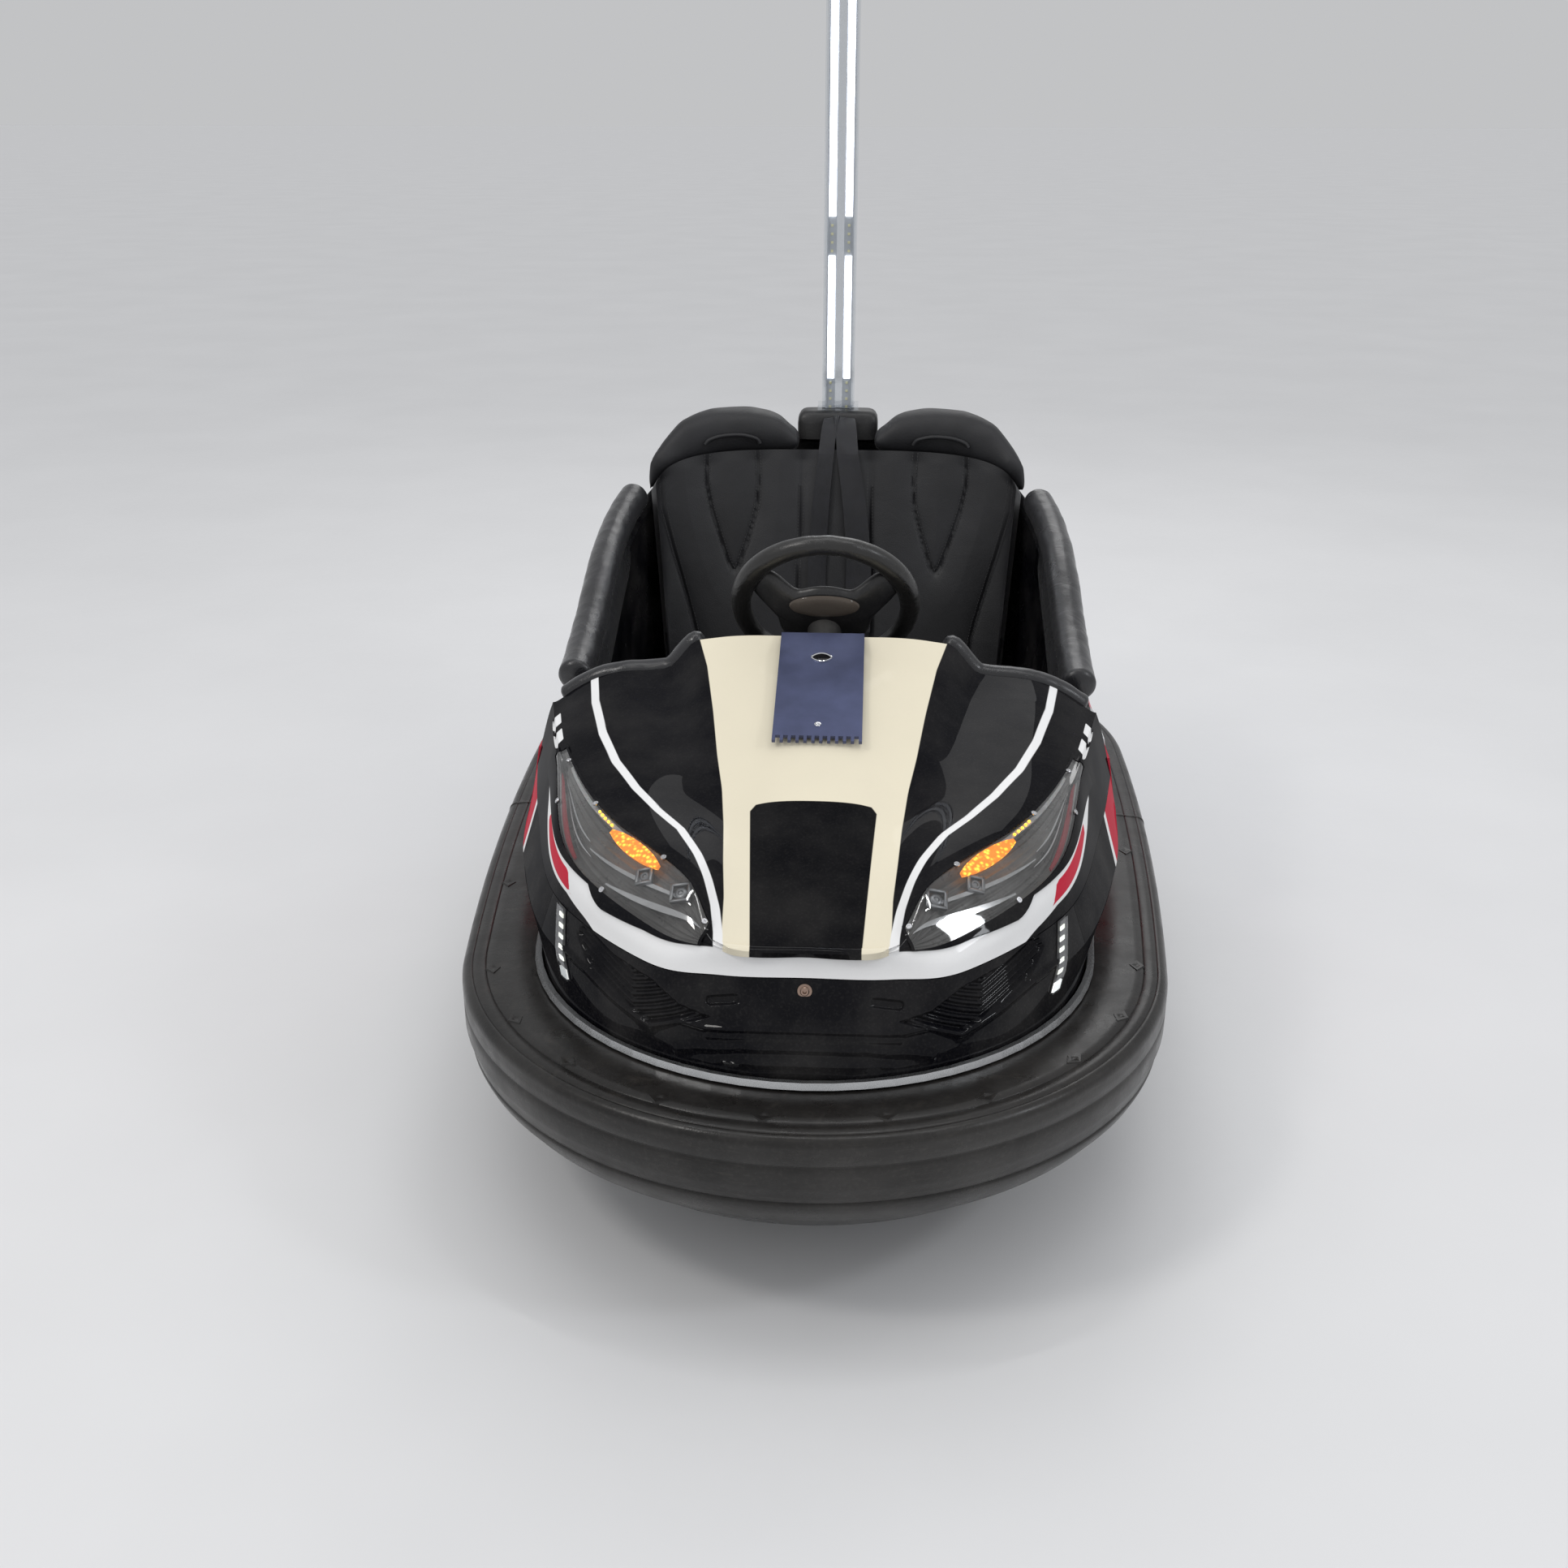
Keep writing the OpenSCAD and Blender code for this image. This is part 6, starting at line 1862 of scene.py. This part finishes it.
def make_underside():
    """Frame, fork, motor, tyres and hubs."""
    dress("chassis_frame", finish(coated_steel, "Frame_Steel", (0.03, 0.03, 0.032), 0.4))
    dress("drive_fork", finish(coated_steel, "Frame_Steel", (0.03, 0.03, 0.032), 0.4))
    make_motor()
    make_tyre("drive_tyre", "drive_wheel", 30)
    make_tyre("rear_tyre_left", "rear_wheel_left", 26)
    make_tyre("rear_tyre_right", "rear_wheel_right", 26)
    make_hub("drive_hub", "drive_wheel", 6, 0.036)
    make_hub("rear_hub_left", "rear_wheel_left", 5, 0.030)
    make_hub("rear_hub_right", "rear_wheel_right", 5, 0.030)


# Sizes, colours and operators

class CarColours(bpy.types.PropertyGroup):
    """Colours of the car's finishes."""

    cream: bpy.props.FloatVectorProperty(name="Centre stripe",
                                         description="Gelcoat of the bonnet's centre stripe",
                                         subtype="COLOR", default=(0.76, 0.70, 0.55))
    band_white: bpy.props.FloatVectorProperty(name="Nose band",
                                              description="White of the nose band and pin stripe",
                                              subtype="COLOR", default=(0.80, 0.80, 0.80))
    gloss_black: bpy.props.FloatVectorProperty(name="Gloss black",
                                               description="Black gelcoat and mouldings", subtype="COLOR",
                                               default=(0.0035, 0.0035, 0.005))
    flank_red: bpy.props.FloatVectorProperty(name="Flank red", description="Red of the flanks",
                                             subtype="COLOR", default=(0.52, 0.018, 0.045))
    quarter_blue: bpy.props.FloatVectorProperty(name="Rear quarter",
                                                description="Blue of the rear quarters", subtype="COLOR",
                                                default=(0.02, 0.13, 0.42))
    rubber: bpy.props.FloatVectorProperty(name="Bumper rubber", description="Rubber of the ring",
                                          subtype="COLOR", default=(0.011, 0.0095, 0.0085))
    vinyl: bpy.props.FloatVectorProperty(name="Bench vinyl", description="Leatherette of the seat",
                                         subtype="COLOR", default=(0.014, 0.014, 0.016))
    webbing: bpy.props.FloatVectorProperty(name="Webbing", description="Belt over the seat back",
                                           subtype="COLOR", default=(0.006, 0.006, 0.009))
    anodised: bpy.props.FloatVectorProperty(name="Token panel",
                                            description="Anodised metal of the token panel",
                                            subtype="COLOR", default=(0.10, 0.115, 0.21))


class CarSizes(bpy.types.PropertyGroup):
    """Sizes of the details that the scene adds."""

    pin_stripe: bpy.props.FloatProperty(name="Pin stripe", description="Width of the thin white stripe",
                                        default=0.0125, unit="LENGTH")
    seam_depth: bpy.props.FloatProperty(name="Seam depth", description="Depth of the seat's sewn seams",
                                        default=0.0045, unit="LENGTH")
    stitch: bpy.props.FloatProperty(name="Stitch", description="Length of one stitch", default=0.004,
                                    unit="LENGTH")
    chip_pitch: bpy.props.FloatProperty(name="Pole lights", description="Spacing of the pole's bare lights",
                                        default=0.0165, unit="LENGTH")
    wrinkle: bpy.props.FloatProperty(name="Wrinkles", description="Height of the side pads' wrinkles",
                                     default=0.0009, unit="LENGTH")


class CAR_OT_stage(bpy.types.Operator):
    """Floor, soft lights, pale surroundings and the camera"""

    bl_idname = "car.stage"
    bl_label = "Stage"
    bl_options = {"REGISTER", "UNDO"}

    def execute(self, context):
        make_stage()
        return {"FINISHED"}


class CAR_OT_bumper(bpy.types.Operator):
    """Rubber ring with its grooves and marks, and the bright strip on it"""

    bl_idname = "car.bumper"
    bl_label = "Bumper"
    bl_options = {"REGISTER", "UNDO"}

    def execute(self, context):
        make_bumper()
        return {"FINISHED"}


class CAR_OT_bonnet(bpy.types.Operator):
    """Front shell with its livery, the flanks and the token panel"""

    bl_idname = "car.bonnet"
    bl_label = "Bonnet"
    bl_options = {"REGISTER", "UNDO"}

    def execute(self, context):
        make_front_shell()
        make_flanks()
        make_dash_plate()
        make_token_panel()
        return {"FINISHED"}


class CAR_OT_nose(bpy.types.Operator):
    """Black lower nose with its slats and intakes"""

    bl_idname = "car.nose"
    bl_label = "Lower nose"
    bl_options = {"REGISTER", "UNDO"}

    def execute(self, context):
        make_lower_nose()
        return {"FINISHED"}


class CAR_OT_lamps(bpy.types.Operator):
    """Head lamps, day strips and tail lamps"""

    bl_idname = "car.lamps"
    bl_label = "Lamps"
    bl_options = {"REGISTER", "UNDO"}

    def execute(self, context):
        for side in (-1, 1):
            make_headlamp(side)
            make_day_lamp(side)
        make_tail_lamps()
        return {"FINISHED"}


class CAR_OT_tub(bpy.types.Operator):
    """Cockpit tub with its pads and step plates"""

    bl_idname = "car.tub"
    bl_label = "Cockpit"
    bl_options = {"REGISTER", "UNDO"}

    def execute(self, context):
        make_tub()
        for side in (-1, 1):
            make_side_pad(side)
            make_dash_pad(side)
            make_step_plate(side)
        return {"FINISHED"}


class CAR_OT_seat(bpy.types.Operator):
    """Bench cushion, backrest, headrests and strap"""

    bl_idname = "car.seat"
    bl_label = "Bench"
    bl_options = {"REGISTER", "UNDO"}

    def execute(self, context):
        make_backrest()
        make_cushion()
        for side in (-1, 1):
            make_headrest(side)
        make_strap()
        return {"FINISHED"}


class CAR_OT_steering(bpy.types.Operator):
    """Steering wheel, its cover and column"""

    bl_idname = "car.steering"
    bl_label = "Steering"
    bl_options = {"REGISTER", "UNDO"}

    def execute(self, context):
        make_steering()
        return {"FINISHED"}


class CAR_OT_pole(bpy.types.Operator):
    """Clear lamp pole with its lights, foot and box"""

    bl_idname = "car.pole"
    bl_label = "Lamp pole"
    bl_options = {"REGISTER", "UNDO"}

    def execute(self, context):
        make_pole()
        return {"FINISHED"}


class CAR_OT_underside(bpy.types.Operator):
    """Frame, floor, drive unit and wheels"""

    bl_idname = "car.underside"
    bl_label = "Underside"
    bl_options = {"REGISTER", "UNDO"}

    def execute(self, context):
        make_underside()
        return {"FINISHED"}


class CAR_PT_pieces(bpy.types.Panel):
    """Lists the car's sizes, colours and pieces"""

    bl_label = "Bumper car"
    bl_space_type = "VIEW_3D"
    bl_region_type = "UI"
    bl_category = "Bumper Car"

    def draw(self, context):
        for group in (context.scene.car_sizes, context.scene.car_colours):
            box = self.layout.box()
            for key in group.__annotations__:
                box.prop(group, key)
        for piece in PIECES:
            self.layout.operator(piece.bl_idname)


PIECES = (CAR_OT_stage, CAR_OT_bumper, CAR_OT_bonnet, CAR_OT_nose, CAR_OT_lamps, CAR_OT_tub, CAR_OT_seat,
          CAR_OT_steering, CAR_OT_pole, CAR_OT_underside)
CLASSES = (CarColours, CarSizes, *PIECES, CAR_PT_pieces)


def register():
    """Registers the classes and hangs the properties on the scene."""
    for cls in CLASSES:
        bpy.utils.register_class(cls)
    bpy.types.Scene.car_colours = bpy.props.PointerProperty(type=CarColours)
    bpy.types.Scene.car_sizes = bpy.props.PointerProperty(type=CarSizes)


def unregister():
    """Takes back what register added."""
    del bpy.types.Scene.car_sizes
    del bpy.types.Scene.car_colours
    for cls in reversed(CLASSES):
        bpy.utils.unregister_class(cls)


def main():
    """Builds everything by its operators."""
    register()
    for piece in PIECES:
        group, name = piece.bl_idname.split(".")
        getattr(getattr(bpy.ops, group), name)()


if __name__ == "__main__":
    main()
